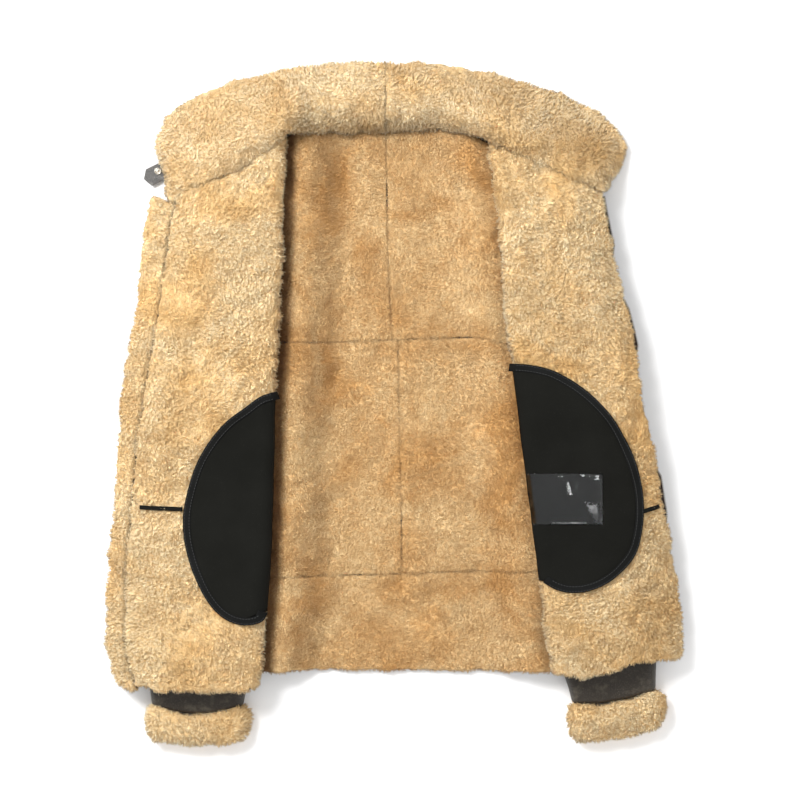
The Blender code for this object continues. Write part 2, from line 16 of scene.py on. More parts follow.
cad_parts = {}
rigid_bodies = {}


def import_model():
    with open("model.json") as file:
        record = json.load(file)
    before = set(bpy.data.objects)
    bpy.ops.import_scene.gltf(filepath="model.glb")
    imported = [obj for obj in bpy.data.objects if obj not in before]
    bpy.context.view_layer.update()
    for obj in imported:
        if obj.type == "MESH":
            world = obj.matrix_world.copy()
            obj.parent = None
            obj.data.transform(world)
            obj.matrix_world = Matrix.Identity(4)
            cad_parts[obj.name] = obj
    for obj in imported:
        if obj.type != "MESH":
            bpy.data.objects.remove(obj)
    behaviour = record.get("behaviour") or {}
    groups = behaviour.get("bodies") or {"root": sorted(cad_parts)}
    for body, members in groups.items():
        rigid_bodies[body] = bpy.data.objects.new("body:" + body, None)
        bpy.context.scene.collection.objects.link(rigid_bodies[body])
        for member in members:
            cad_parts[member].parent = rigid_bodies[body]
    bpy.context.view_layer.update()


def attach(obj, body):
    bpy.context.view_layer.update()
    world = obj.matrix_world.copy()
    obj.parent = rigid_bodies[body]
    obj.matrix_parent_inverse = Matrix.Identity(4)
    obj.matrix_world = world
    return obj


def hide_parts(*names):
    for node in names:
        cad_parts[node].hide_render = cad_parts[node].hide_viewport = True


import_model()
MM = 0.001

# %% [markdown]
# ## Camera and light
#
# The camera looks straight down from a little over three metres, as a product photographer's
# does on a boom. One picture is 976 mm wide at the height of the garment. A big soft light
# stands at the upper left, a weaker one fills from the right, and the pale table and the world
# fill the shadows. The plain view transform keeps a white table white and a colour as it is set.

# %% Camera
PICTURE_WIDE, PICTURE_LEVEL = 0.976, 0.026
CAMERA_AT = (0.0061, 0.0029, 3.2)
camera = bpy.data.cameras.new("camera")
camera.sensor_width = 36.0
camera.lens = 18.0 * (CAMERA_AT[2] - PICTURE_LEVEL) / (PICTURE_WIDE / 2)
camera.clip_end = 50.0
camera_object = bpy.data.objects.new("camera", camera)
camera_object.location = CAMERA_AT
bpy.context.scene.collection.objects.link(camera_object)
bpy.context.scene.camera = camera_object
print("lens:", round(camera.lens, 1), "mm")

# %% Table and lights
def add_light(name, place, size, watts, warm=(1.0, 1.0, 1.0)):
    """A square soft light that faces the middle of the garment."""
    lamp = bpy.data.lights.new(name, "AREA")
    lamp.size, lamp.energy, lamp.color = size, watts, warm
    made = bpy.data.objects.new(name, lamp)
    made.location = place
    made.rotation_mode = "QUATERNION"
    made.rotation_quaternion = Vector(place).to_track_quat("Z", "Y")
    bpy.context.scene.collection.objects.link(made)


add_light("key", (-1.2, 1.2, 2.2), 1.0, 92.0)
add_light("fill", (1.8, -0.8, 2.4), 1.8, 8.0)
world = bpy.data.worlds.new("studio")
world.use_nodes = True
world.node_tree.nodes["Background"].inputs["Color"].default_value = (1.0, 1.0, 1.0, 1.0)
world.node_tree.nodes["Background"].inputs["Strength"].default_value = 0.88
bpy.context.scene.world = world
bpy.context.scene.view_settings.view_transform = "Standard"

floor_mesh = bpy.data.meshes.new("table_top")
floor_mesh.from_pydata([(-6, -6, -0.0005), (6, -6, -0.0005), (6, 6, -0.0005), (-6, 6, -0.0005)],
                       [], [(0, 1, 2, 3)])
floor = bpy.data.objects.new("table_top", floor_mesh)
bpy.context.scene.collection.objects.link(floor)

# %% [markdown]
# ## The numbers of the garment
#
# A pattern cutter works from a few lines: the neck seam, the seams of the back, and for each
# front the fold line, the front edge, the side seam and the hem. They are the same tables from
# which the solids were made, in millimetres. `u` is the distance outwards from the middle, so
# one set of functions serves both sides.

# %% Sizes and lines
WALL, RIM_WIDTH, GAP, SLIT = 11.5, 4.5, 0.4, 3.4
SLEEVE_HIGH = 2 * WALL + SLIT
FOLD_RADIUS, SETTLE = 7.2, 1.6
FOLD_OUTER = FOLD_RADIUS + WALL / 2
RAMP_START, RAMP_WIDTH, NECK_RISE = 75.0, 55.0, 8.0
DROOP, DROOP_WIDTH, EDGE_DROOP, EDGE_DROOP_WIDTH = 23.0, 75.0, 16.0, 50.0
SHOULDER_OVER_NECK, FLAP_STEP = 12.0, 1.0
CUFF_HIGH, END_BOW_HALF = 33.0, 60.0
CUFF_WALL = (CUFF_HIGH - SLIT) / 2
# Neck seam: x, y.
NECK = (
    (-275, 243), (-252, 255), (-232, 265), (-204, 276), (-175, 291), (-152, 308),
    (-132, 324), (-101, 331), (-67, 333.5), (-8, 334.5), (43, 335.5), (82, 332),
    (112, 318), (134, 308), (160, 296), (183, 285), (204, 276), (228, 268), (250, 259),
)
# Seams of the back: the centre seam is y, x; the others are x, y.
CENTRE_SEAM = ((-323, 9.8), (-207, 8.5), (-119, 7.3), (-21, 4.9), (77, 3.5))
CENTRE_SEAM_UPPER = ((77, -4), (174, -8.5), (247, -9.8), (335, -11))
CROSS_SEAM = ((-275, 76), (-67, 74), (0, 77), (55, 78.5), (104, 78.5), (140, 70), (275, 70))
BAND_SEAM = ((-275, -211), (-116, -213), (-67, -212), (6, -210.5), (67, -208), (275, -206))
BACK_HEM = ((-275, -333), (-158, -331), (-116, -330.5), (-55, -330), (6, -330.5), (67, -331),
            (128, -331), (193, -330), (280, -322))

# Each front and sleeve, with u the distance outwards from the middle of the garment.
# fold, edge, side: y, u.  hem: u, y.  sleeve: y, inner u, outer u, tilt, bow.
# swells: u, y, half width, half length, height.
SIDES = {
    "right": dict(
        sign=-1,
        fold=((-350, 162), (-290, 159), (-217, 152.5), (-95, 147.5), (12, 145), (88, 139),
              (174, 136.5), (247, 134), (324, 132)),
        edge=((-350, 316), (-302, 327), (-253, 328), (-192, 327), (-143, 323), (-81, 318),
              (-42, 312), (28, 302), (92, 291), (155, 282), (213, 274), (247, 267)),
        hem=((162, -347), (177, -353.4), (201, -354.6), (238, -353.4), (287, -353.4),
             (316, -349.7)),
        side=((-345, 266), (-200, 270), (60, 270), (110, 255), (160, 228), (210, 216), (290, 214)),
        sleeve=((262, 196, 258, 0, 0), (256, 172, 272, 0, 0), (236, 146, 284, 0, 0),
                (200, 128, 292, 0, 0), (100, 125, 300, 0, 0), (0, 131, 306, 0, 0),
                (-100, 136, 310, 0, 0), (-200, 142, 310, 0, 0), (-290, 158, 307, 0, -2),
                (-335, 178, 302, 0, -8), (-363, 185, 298, 0, -12), (-368, 186, 297.5, 0, -12)),
        cuff=((-371, 186, 297), (-375, 178, 306.5), (-384, 173.5, 309.5), (-395, 174, 308),
              (-401, 180, 303), (-405, 187, 297)),
        cuff_tilt=0.0, cuff_bow=-12.0,
        swells=((205, 215, 45, 45, 3.5), (250, 60, 40, 60, 3.0), (200, -20, 36, 50, 2.0),
                (285, -60, 30, 50, 3.0), (230, -310, 60, 28, 3.5), (300, -230, 26, 60, 2.5)),
    ),
    "left": dict(
        sign=1,
        fold=((-334, 191.5), (-290, 183), (-223, 175.5), (-143, 166), (-46, 153.5), (33, 144),
              (88, 135.5), (149, 132), (222, 124.5), (318, 112)),
        edge=((-318, 333), (-309, 349), (-292, 352.5), (-262, 350), (-214, 344), (-168, 335.5),
              (-128, 327), (-90, 321), (-43, 311), (5, 300), (71, 293), (117, 282), (164, 271),
              (210, 261), (259, 250)),
        hem=((191, -329), (224, -336.5), (255, -332), (287, -321), (333, -317)),
        side=((-345, 275), (-200, 272), (60, 262), (110, 246), (160, 222), (210, 208), (280, 206)),
        sleeve=((246, 165, 215, 0, 0), (240, 146, 228, 0, 0), (224, 126, 240, 0, 0),
                (200, 113, 250, 0, 0), (100, 121, 280, 0, 0), (0, 134, 298, 0, 0),
                (-100, 148, 312, 0, 0), (-200, 162, 320, 0, 0), (-280, 184, 322, 0.05, -2),
                (-325, 207, 320, 0.12, -5), (-352, 216, 319, 0.17, -8), (-357, 217, 318.5, 0.17, -8)),
        cuff=((-360, 217, 319), (-364.5, 210, 329.5), (-375, 207, 334.5), (-388, 209, 334),
              (-396, 216, 329), (-400, 223, 323)),
        cuff_tilt=0.17, cuff_bow=-8.0,
        swells=((190, 225, 40, 45, 3.5), (240, 120, 36, 50, 3.0), (190, 60, 34, 40, 2.0),
                (255, -290, 60, 26, 3.5), (320, -240, 24, 45, 2.5)),
    ),
}
# Wind flap: y on the front's edge, then outer edge u, y.
FLAP = (
    (241, 297.7, 247), (232, 302, 233), (213, 306, 219), (155, 311.5, 176), (92, 315.5, 117),
    (28, 327, 52), (-42, 335, -28), (-81, 339.5, -83), (-143, 346, -150), (-192, 350, -192),
    (-253, 352.6, -252), (-302, 352.6, -302), (-330, 347.5, -327), (-342, 339, -342.5),
    (-349.5, 327, -349.8),
)
# Collar sections: neck x, y, then outer x, y, outer height, dome.
COLLAR = {
    "right": (
        (-274.5, 243.8, -276, 262, 9, 2), (-270.5, 246.6, -277.5, 275, 9.5, 4),
        (-264, 250, -280.5, 290, 9.5, 6), (-252, 256, -290.2, 320, 9, 8),
        (-232, 266, -279.5, 350.5, 8, 10), (-204, 277, -251.5, 372.5, 7, 13),
        (-175, 292, -211, 390.8, 6.5, 15), (-152, 309, -180, 400, 6.5, 17),
        (-132, 325, -155, 406.7, 6.5, 19), (-101, 332, -112, 413, 6.5, 22),
        (-67, 334.5, -70, 416.5, 6.5, 24), (-40, 335.2, -42, 417.5, 6.5, 25),
        (-16.5, 335.6, -16.5, 417.7, 6.5, 25), (-12, 335.6, -12, 417.7, 6.5, 25),
    ),
    "left": (
        (-11.5, 335.6, -11.5, 417.7, 6.5, 25), (-7, 335.6, -7, 417.7, 6.5, 25),
        (15, 336, 18, 417.6, 6.5, 25), (43, 336.5, 55, 416.4, 6.5, 24),
        (82, 333, 106, 406.5, 6.5, 22), (112, 319, 148, 395.5, 6.5, 19),
        (134, 309, 193, 382.3, 6.5, 17), (160, 297, 238, 361.5, 7, 14),
        (183, 286, 264.5, 343, 8, 12), (204, 277, 280.5, 322.5, 8.5, 9),
        (228, 269, 280.6, 300.5, 9, 6), (240, 264.5, 272, 284, 9, 4),
        (247, 261.5, 263, 273, 9, 3), (250, 260, 258, 267, 9, 2),
    ),
}
COLLAR_NECK_LOW = 19.0
COLLAR_CLEAR = 3.0
# Pocket bags: the curved edge from top to bottom as u, y, and where the straight edge ends.
BAGS = {
    "right": dict(
        straight=(7.0, -252.0),
        arc=((147, 13.5), (162, 8), (183, -7), (205, -23), (223, -43.5), (241.5, -74),
             (252.5, -107), (258, -137), (257.5, -162), (252.5, -187.5), (241.5, -218),
             (228, -243), (212, -260.5), (193, -270), (176, -271.5), (163, -266.5), (158, -256)),
    ),
    "left": dict(
        straight=(42.0, -215.0),
        arc=((143, 47.5), (163, 46), (190, 40), (217, 26), (245, 4), (267, -21), (284, -53),
             (295, -87), (300, -117.5), (299, -153), (290, -187), (273, -209.5), (253, -223.5),
             (228, -231.5), (208, -231.5), (192.5, -226.5), (181.5, -219)),
    ),
}
# Stay tapes: start u, y, end u, y.
STAY_TAPES = {"right": (256.0, -128.7, 305.5, -126.4), "left": (293.0, -133.0, 317.0, -125.5)}
# The window pocket runs from the fold out to u, and from the first y to the second.
WINDOW = dict(u=250.0, y=(-147.0, -86.0))
# The collar tab from its sewn end to its point: upper edge x, y, lower edge x, y, height.
TAB = ((-279, 300, -277, 277.5, 6.3), (-284, 297.3, -284.4, 273.8, 6.3),
       (-288.4, 294.8, -288.9, 271, 6.3), (-294.3, 292, -293.4, 268.2, 6.3),
       (-300.2, 289.2, -298, 265.5, 6.0), (-303.2, 287.7, -303.2, 269.6, 5.2),
       (-306.1, 286.3, -308.7, 274.1, 4.0))
SNAP = (-291.0, 283.6, 6.3)
print("sections:", len(FLAP), "of the flap,", sum(len(c) for c in COLLAR.values()), "of the collar")

# %% [markdown]
# ## Heights
#
# The back lies on the table in the middle and climbs onto the sleeves at the sides. A front
# starts at the side seam, wool down, runs inwards over the back, rolls over at the fold line
# and comes back wool up. These functions give the middle of each wall.

# %% Curves and heights
def hermite(table, at, column=1):
    """A smooth curve through a table, straight beyond its ends."""
    keys = np.array([row[0] for row in table], float)
    values = np.array([row[column] for row in table], float)
    slopes = np.gradient(values, keys)
    at = np.asarray(at, float)
    i = np.clip(np.searchsorted(keys, at) - 1, 0, len(keys) - 2)
    span = keys[i + 1] - keys[i]
    t = (at - keys[i]) / span
    inside = np.clip(t, 0, 1)
    h00 = 2 * inside**3 - 3 * inside**2 + 1
    h10 = inside**3 - 2 * inside**2 + inside
    h01 = -2 * inside**3 + 3 * inside**2
    h11 = inside**3 - inside**2
    curve = h00 * values[i] + h10 * span * slopes[i] + h01 * values[i + 1]
    curve = curve + h11 * span * slopes[i + 1]
    beyond = (t - inside) * span * np.where(t < 0, slopes[0], slopes[-1])
    return curve + beyond


def ease(t):
    t = np.clip(t, 0.0, 1.0)
    return t * t * (3 - 2 * t)


def lerp(a, b, t):
    return a + (b - a) * t


def stations(count, length, edge=RIM_WIDTH):
    """Steps from 0 to 1, with one close to each end where the rim is rounded."""
    near = edge / length
    return np.concatenate([[0.0], np.linspace(near, 1 - near, count - 2), [1.0]])


def back_height(x, y):
    """Middle of the back's wall: on the floor, and up on the sleeves at the sides."""
    z = WALL / 2 + 0 * x
    for side in SIDES.values():
        ramp = (side["sign"] * x - hermite(side["fold"], y) + RAMP_START) / RAMP_WIDTH
        z = z + (SLEEVE_HIGH + GAP) * ease(ramp)
    middle = 1 - ease((np.abs(x) - 40) / 45)
    return z + NECK_RISE * ease((y - 296) / 40) * middle


def hidden_height(side, u, y):
    return back_height(side["sign"] * u, y) + WALL + GAP


def shown_height(side, u, y):
    """Middle of the layer that shows."""
    fold = hermite(side["fold"], y)
    z = hidden_height(side, np.maximum(u, fold), y) + 2 * FOLD_RADIUS
    z = z - SETTLE * ease((u - fold - FOLD_OUTER) / 40)
    z = z - DROOP * ease((u - hermite(side["side"], y)) / DROOP_WIDTH)
    outer = hermite(side["sleeve"][::-1], np.minimum(y, 200), 2)
    z = z - EDGE_DROOP * ease((u - outer - 2) / EDGE_DROOP_WIDTH)
    for at_u, at_y, wide, long, high in side["swells"]:
        z = z + high * np.exp(-(((u - at_u) / wide) ** 2) - ((y - at_y) / long) ** 2)
    return z


def shown_point(side, u, y, above):
    """A point above the middle of the layer that shows, and round its fold."""
    centre = hermite(side["fold"], y) + FOLD_OUTER
    top = np.array([side["sign"] * u, y, 0.0])
    if u < centre:
        low = hidden_height(side, centre, y) + FOLD_RADIUS
        across = (centre - u) / FOLD_OUTER
        reach = FOLD_RADIUS + above
        top[0] = side["sign"] * (centre - reach * across)
        top[2] = low + reach * np.sqrt(max(0.0, 1 - across**2))
        return top
    step = 1.0
    du = (shown_height(side, u + step, y) - shown_height(side, u - step, y)) / (2 * step)
    dy = (shown_height(side, u, y + step) - shown_height(side, u, y - step)) / (2 * step)
    normal = np.array([-side["sign"] * du, -dy, 1.0])
    top[2] = shown_height(side, u, y)
    return top + normal / np.linalg.norm(normal) * above


def neck_line(x):
    return hermite(NECK, x) - GAP


def shoulder_line(x):
    """The hidden top edge of the back and of a front's hidden layer."""
    return neck_line(x) + SHOULDER_OVER_NECK * ease((np.abs(x) - 140) / 30)


print("height over the right pocket:", round(float(shown_height(SIDES["right"], 200, -100)), 1), "mm")

# %% [markdown]
# ## Finishes
#
# Every finish is a small tree of shader nodes that reads Object coordinates or an attribute of
# the mesh. Wool is the main one: each lock is dark at its root, painted shade where the light
# doesn't reach, and pale at its tip. `tip` runs from 0 to 1 along a lock, `tone` differs from lock
# to lock, an attribute of painted shade is 1 in a crevice where two layers meet, beside a folded
# front and under the neck seam, and slow noise makes the paler and darker patches that every
# sheepskin has. The locks are lit by the face they grow on, so they look soft.

# %% Helpers for node trees
def node(tree, kind, inputs=None, **settings):
    """Adds a node, sets what is given, and links any input that is another node's output."""
    made = tree.nodes.new(kind)
    for key, value in settings.items():
        setattr(made, key, value)
    for key, value in (inputs or {}).items():
        if isinstance(value, bpy.types.NodeSocket):
            tree.links.new(value, made.inputs[key])
        else:
            made.inputs[key].default_value = value
    return made


def maths(tree, operation, *values):
    return node(tree, "ShaderNodeMath", dict(enumerate(values)), operation=operation).outputs[0]


def vector_maths(tree, operation, *values):
    return node(tree, "ShaderNodeVectorMath", dict(enumerate(values)), operation=operation).outputs[0]


def scaled(tree, vector, by):
    return node(tree, "ShaderNodeVectorMath", {0: vector, "Scale": by}, operation="SCALE").outputs[0]


def mixed(tree, factor, first, second, blend="MIX"):
    made = node(tree, "ShaderNodeMix", data_type="RGBA", blend_type=blend)
    for socket, value in ((0, factor), (6, first), (7, second)):
        if isinstance(value, bpy.types.NodeSocket):
            tree.links.new(value, made.inputs[socket])
        else:
            made.inputs[socket].default_value = value
    return made.outputs[2]


def spread(tree, value, low, high, to_low=0.0, to_high=1.0):
    names = {"Value": value, 1: low, 2: high, 3: to_low, 4: to_high}
    return node(tree, "ShaderNodeMapRange", names, clamp=True).outputs[0]


def finish(name, roughness, metallic=0.0, **sockets):
    """A material with its shader's constants set on the shader itself."""
    made = bpy.data.materials.new(name)
    made.use_nodes = True
    shader = made.node_tree.nodes["Principled BSDF"]
    shader.inputs["Roughness"].default_value = roughness
    shader.inputs["Metallic"].default_value = metallic
    for key, value in sockets.items():
        shader.inputs[key.replace("_", " ")].default_value = value
    return made, made.node_tree, shader


def colour(*srgb):
    """An sRGB colour from 0 to 255 as the linear one that nodes use."""
    linear = [(c / 255 / 12.92) if c <= 10 else ((c / 255 + 0.055) / 1.055) ** 2.4 for c in srgb]
    return (*linear, 1.0)


def place(tree):
    return node(tree, "ShaderNodeTexCoord").outputs["Object"]


def cloud(tree, vector, scale, detail=2.0, rough=0.5, distortion=0.0):
    return node(tree, "ShaderNodeTexNoise", {"Vector": vector, "Scale": scale, "Detail": detail,
                                             "Roughness": rough, "Distortion": distortion}).outputs[0]


print("helpers ready")

# %% Wool
WOOL_SHADES = {
    # root (darkened as painted shade), tip, patch, how strong the patches are
    "wool_front": (colour(216, 174, 114), colour(245, 229, 189), colour(227, 189, 128), 0.95),
    "wool_back": (colour(184, 136, 78), colour(244, 216, 164), colour(206, 158, 96), 1.0),
    "wool_collar": (colour(213, 173, 114), colour(246, 231, 194), colour(219, 182, 124), 0.9),
}


def wool(name, shades, with_locks):
    root, tip_shade, patch, strength = shades
    made, tree, shader = finish(name, 0.9, Sheen_Weight=0.2, Sheen_Roughness=0.5,
                                Subsurface_Weight=0.75, Subsurface_Scale=0.005,
                                Subsurface_Radius=(1.0, 0.85, 0.7))
    shader.subsurface_method = "BURLEY"
    where = place(tree)
    slow = spread(tree, cloud(tree, where, 11.0, 3.0, 0.6, 0.6), 0.4, 0.66)
    quick = spread(tree, cloud(tree, where, 95.0, 3.0, 0.6), 0.36, 0.66)
    pale = mixed(tree, maths(tree, "MULTIPLY", slow, strength), tip_shade, patch)
    pale = mixed(tree, maths(tree, "MULTIPLY", quick, 0.35), pale, patch)
    if with_locks:
        tip = node(tree, "ShaderNodeAttribute", attribute_name="tip").outputs["Fac"]
        tone = node(tree, "ShaderNodeAttribute", attribute_name="tone").outputs["Fac"]
        # Painted shade: each lock runs from the dark root colour at its base to the pale colour at its
        # tip.
        along = spread(tree, tip, 0.0, 0.85)
        shade = mixed(tree, along, root, pale)
        light = spread(tree, tone, 0.0, 1.0, 0.93, 1.04)
        shade = mixed(tree, 1.0, shade, light, "MULTIPLY")
        lie = node(tree, "ShaderNodeAttribute", attribute_name="lie").outputs["Vector"]
        own = node(tree, "ShaderNodeNewGeometry").outputs["Normal"]
        soft = vector_maths(tree, "MULTIPLY_ADD", own, (0.15, 0.15, 0.15), lie)
        tree.links.new(vector_maths(tree, "NORMALIZE", soft), shader.inputs["Normal"])
    else:
        # Painted shade on the wall under the locks: a noise of pits mixes in the dark root colour, and
        # the same noise bumps the wall.
        painted_shade = spread(tree, cloud(tree, where, 260.0, 2.0, 0.6), 0.35, 0.62)
        shade = mixed(tree, maths(tree, "MULTIPLY_ADD", painted_shade, 0.4, 0.3), root, pale)
        bump = node(tree, "ShaderNodeBump", {"Strength": 0.5, "Distance": 0.0015, "Height": painted_shade})
        tree.links.new(bump.outputs[0], shader.inputs["Normal"])
    # Painted shade: where the painted-shade attribute is 1, the colour is multiplied down to a dark
    # brown, as the shade in a crevice.
    painted_shade = node(tree, "ShaderNodeAttribute", attribute_name="painted_shade").outputs["Fac"]
    shade = mixed(tree, 1.0, shade, mixed(tree, painted_shade, (1.0, 1.0, 1.0, 1.0), (0.28, 0.22, 0.16, 1.0)),
                  "MULTIPLY")
    tree.links.new(shade, shader.inputs["Base Color"])
    return made


WOOL = {name: wool(name, shades, False) for name, shades in WOOL_SHADES.items()}
LOCKS = {name: wool(name + "_locks", shades, True) for name, shades in WOOL_SHADES.items()}
print("wool:", ", ".join(WOOL))

# %% Leather, cloth, vinyl and metal
def leather(name, dark, light, speckle):
    """Grained leather, rubbed lighter on the high points."""
    made, tree, shader = finish(name, 0.5, Specular_IOR_Level=0.4, Coat_Weight=0.1)
    where = place(tree)
    grain = node(tree, "ShaderNodeTexVoronoi", {"Vector": where, "Scale": 520.0},
                 feature="DISTANCE_TO_EDGE").outputs[0]
    pebble = spread(tree, grain, 0.0, 0.12)
    worn = spread(tree, cloud(tree, where, 60.0, 6.0, 0.7), 0.5, 0.75)
    specks = spread(tree, cloud(tree, where, 900.0, 2.0, 0.6), 0.58, 0.72)
    rub = maths(tree, "MULTIPLY", maths(tree, "MAXIMUM", worn, specks), speckle)
    tree.links.new(mixed(tree, rub, dark, light), shader.inputs["Base Color"])
    height = maths(tree, "ADD", pebble, maths(tree, "MULTIPLY", worn, 0.6))
    bump = node(tree, "ShaderNodeBump", {"Strength": 0.6, "Distance": 0.0006, "Height": height})
    tree.links.new(bump.outputs[0], shader.inputs["Normal"])
    return made


def twill(name, dark, light, ribs, slant):
    """Woven black cotton: fine slanting ribs over a plain weave."""
    made, tree, shader = finish(name, 0.9, Specular_IOR_Level=0.1)
    where = node(tree, "ShaderNodeMapping", {"Vector": place(tree), "Rotation": (0, 0, slant)})
    rib = node(tree, "ShaderNodeTexWave", {"Vector": where.outputs[0], "Scale": ribs,
                                           "Distortion": 0.6, "Detail": 1.0}).outputs["Fac"]
    lint = spread(tree, cloud(tree, place(tree), 420.0, 3.0, 0.7), 0.62, 0.8)
    slow = spread(tree, cloud(tree, place(tree), 20.0, 3.0), 0.35, 0.7)
    shade = mixed(tree, maths(tree, "MULTIPLY", slow, 0.5), dark, light)
    shade = mixed(tree, maths(tree, "MULTIPLY", lint, 0.10), shade, colour(92, 90, 84))
    tree.links.new(shade, shader.inputs["Base Color"])
    bump = node(tree, "ShaderNodeBump", {"Strength": 0.35, "Distance": 0.0004, "Height": rib})
    tree.links.new(bump.outputs[0], shader.inputs["Normal"])
    return made


def metal(name, shade, roughness):
    made, tree, shader = finish(name, roughness, 1.0)
    worn = cloud(tree, place(tree), 700.0, 3.0, 0.6)
    tree.links.new(mixed(tree, spread(tree, worn, 0.4, 0.7), shade, colour(120, 112, 98)),
                   shader.inputs["Base Color"])
    return made


HIDE = leather("dark_leather", colour(40, 33, 24), colour(112, 104, 88), 0.55)
TAB_HIDE = leather("worn_tab_leather", colour(84, 82, 80), colour(142, 140, 136), 0.8)
TWILL = twill("black_twill", colour(17, 17, 14), colour(25, 25, 22), 620.0, 0.9)
RIBBON = twill("black_binding", colour(17, 17, 16), colour(27, 28, 28), 480.0, 0.0)
THREAD, tree, shader = finish("black_thread", 0.6, Base_Color=colour(60, 60, 64))
tree.links.new(mixed(tree, spread(tree, cloud(tree, place(tree), 1500.0), 0.4, 0.6),
                     colour(38, 38, 38), colour(58, 58, 58)), shader.inputs["Base Color"])
NICKEL = metal("aged_nickel", colour(205, 200, 190), 0.32)
DARK_METAL = metal("dark_zip_metal", colour(120, 114, 104), 0.42)

VINYL, tree, shader = finish("clear_vinyl", 0.04, Transmission_Weight=1.0, IOR=1.36,
                             Base_Color=colour(236, 238, 240))
ripple = cloud(tree, place(tree), 36.0, 4.0, 0.55, 1.2)
bump = node(tree, "ShaderNodeBump", {"Strength": 0.3, "Distance": 0.004, "Height": ripple})
# Creases tilted to the big light: x, y, half width, half height in millimetres, slant, haze.
GLINTS = ((200.5, -89.2, 2.6, 1.3, 0.2, 0.0), (223.5, -88.6, 5.0, 1.1, 0.05, 0.0),
          (233.5, -89.0, 1.7, 0.8, 0.1, 0.0), (245.2, -90.2, 4.2, 2.2, 0.5, 0.0),
          (209.6, -104.0, 2.4, 8.0, -0.22, 0.0), (242.6, -134.0, 6.5, 11.5, -0.5, 0.35),
          (210.0, -145.2, 21.0, 0.9, 0.0, 0.3))
at = node(tree, "ShaderNodeSeparateXYZ", {0: place(tree)}).outputs
ragged = spread(tree, cloud(tree, place(tree), 420.0, 3.0, 0.7), 0.3, 0.7, -0.45, 0.45)
tilt, haze = 0.0, 0.04
for x, y, wide, high, slant, blur in GLINTS:
    up = maths(tree, "SUBTRACT", at[1], y * MM)
    across = maths(tree, "SUBTRACT", maths(tree, "SUBTRACT", at[0], x * MM),
                   maths(tree, "MULTIPLY", up, slant))
    reach = maths(tree, "MAXIMUM",
                  maths(tree, "ABSOLUTE", maths(tree, "DIVIDE", across, wide * MM)),
                  maths(tree, "ABSOLUTE", maths(tree, "DIVIDE", up, high * MM)))
    facet = spread(tree, maths(tree, "ADD", reach, ragged), 0.85, 1.0, 1.0, 0.0)
    tilt = maths(tree, "MAXIMUM", tilt, facet)
    haze = maths(tree, "MAXIMUM", haze, maths(tree, "MULTIPLY", facet, blur))
turned = vector_maths(tree, "ADD", bump.outputs[0], scaled(tree, (-0.24, 0.24, 0.0), tilt))
tree.links.new(vector_maths(tree, "NORMALIZE", turned), shader.inputs["Normal"])
tree.links.new(haze, shader.inputs["Roughness"])

TABLE_TOP, tree, shader = finish("white_table", 0.75, Specular_IOR_Level=0.2)
tree.links.new(mixed(tree, cloud(tree, place(tree), 3.0), colour(250, 250, 250),
                     colour(253, 253, 253)), shader.inputs["Base Color"])
floor.data.materials.append(TABLE_TOP)
print("finishes:", len(bpy.data.materials))

# %% [markdown]
# ## Walls of sheepskin
#
# Shearling is one skin with leather on one face and wool on the other, so each panel is one
# closed wall. A grid of points gives the middle of the wall. Both faces are moved off it along
# the grid's own normal, and they meet in a round at every cut edge. The vertex attribute `pile`
# says where wool grows: not on the leather, and not deep between two layers.

# %% A closed wall on a grid of points
STEP = 5.0
FUR_OUT, HEM_LOCKS = 2.6, 3.0
EDGE_STEPS = np.array((0.0, 0.4, 1.5, 3.2, 5.5))


def closer_at_ends(length, step=STEP, edge=EDGE_STEPS):
    """Steps from 0 to 1, close together at both ends so that a rim comes out round."""
    count = max(2, round((length - 2 * edge[-1]) / step))
    middle = np.linspace(edge[-1], length - edge[-1], count + 1)
    return np.concatenate([edge[:-1], middle, length - edge[:-1][::-1]]) / length


def from_ends(grid, axis):
    """How far each point lies from the nearer end of its row or column."""
    steps = np.linalg.norm(np.diff(grid, axis=axis), axis=2)
    run = np.insert(np.cumsum(steps, axis=axis), 0, 0.0, axis=axis)
    return np.minimum(run, np.take(run, [-1], axis=axis) - run)


def cut_size(grid, ring=False):
    """Width, length and area of the flat piece that makes this grid, in metres."""
    closed = np.concatenate([grid, grid[:, :1]], axis=1) if ring else grid
    wide = np.linalg.norm(np.diff(closed, axis=1), axis=2).sum(axis=1).max()
    long = np.linalg.norm(np.diff(closed, axis=0), axis=2).sum(axis=0).max()
    a, b = closed[1:, 1:] - closed[:-1, :-1], closed[1:, :-1] - closed[:-1, 1:]
    area = np.linalg.norm(np.cross(a, b), axis=2).sum() / 2
    return float(wide * MM), float(long * MM), float(area * MM * MM)


SIZES = {}


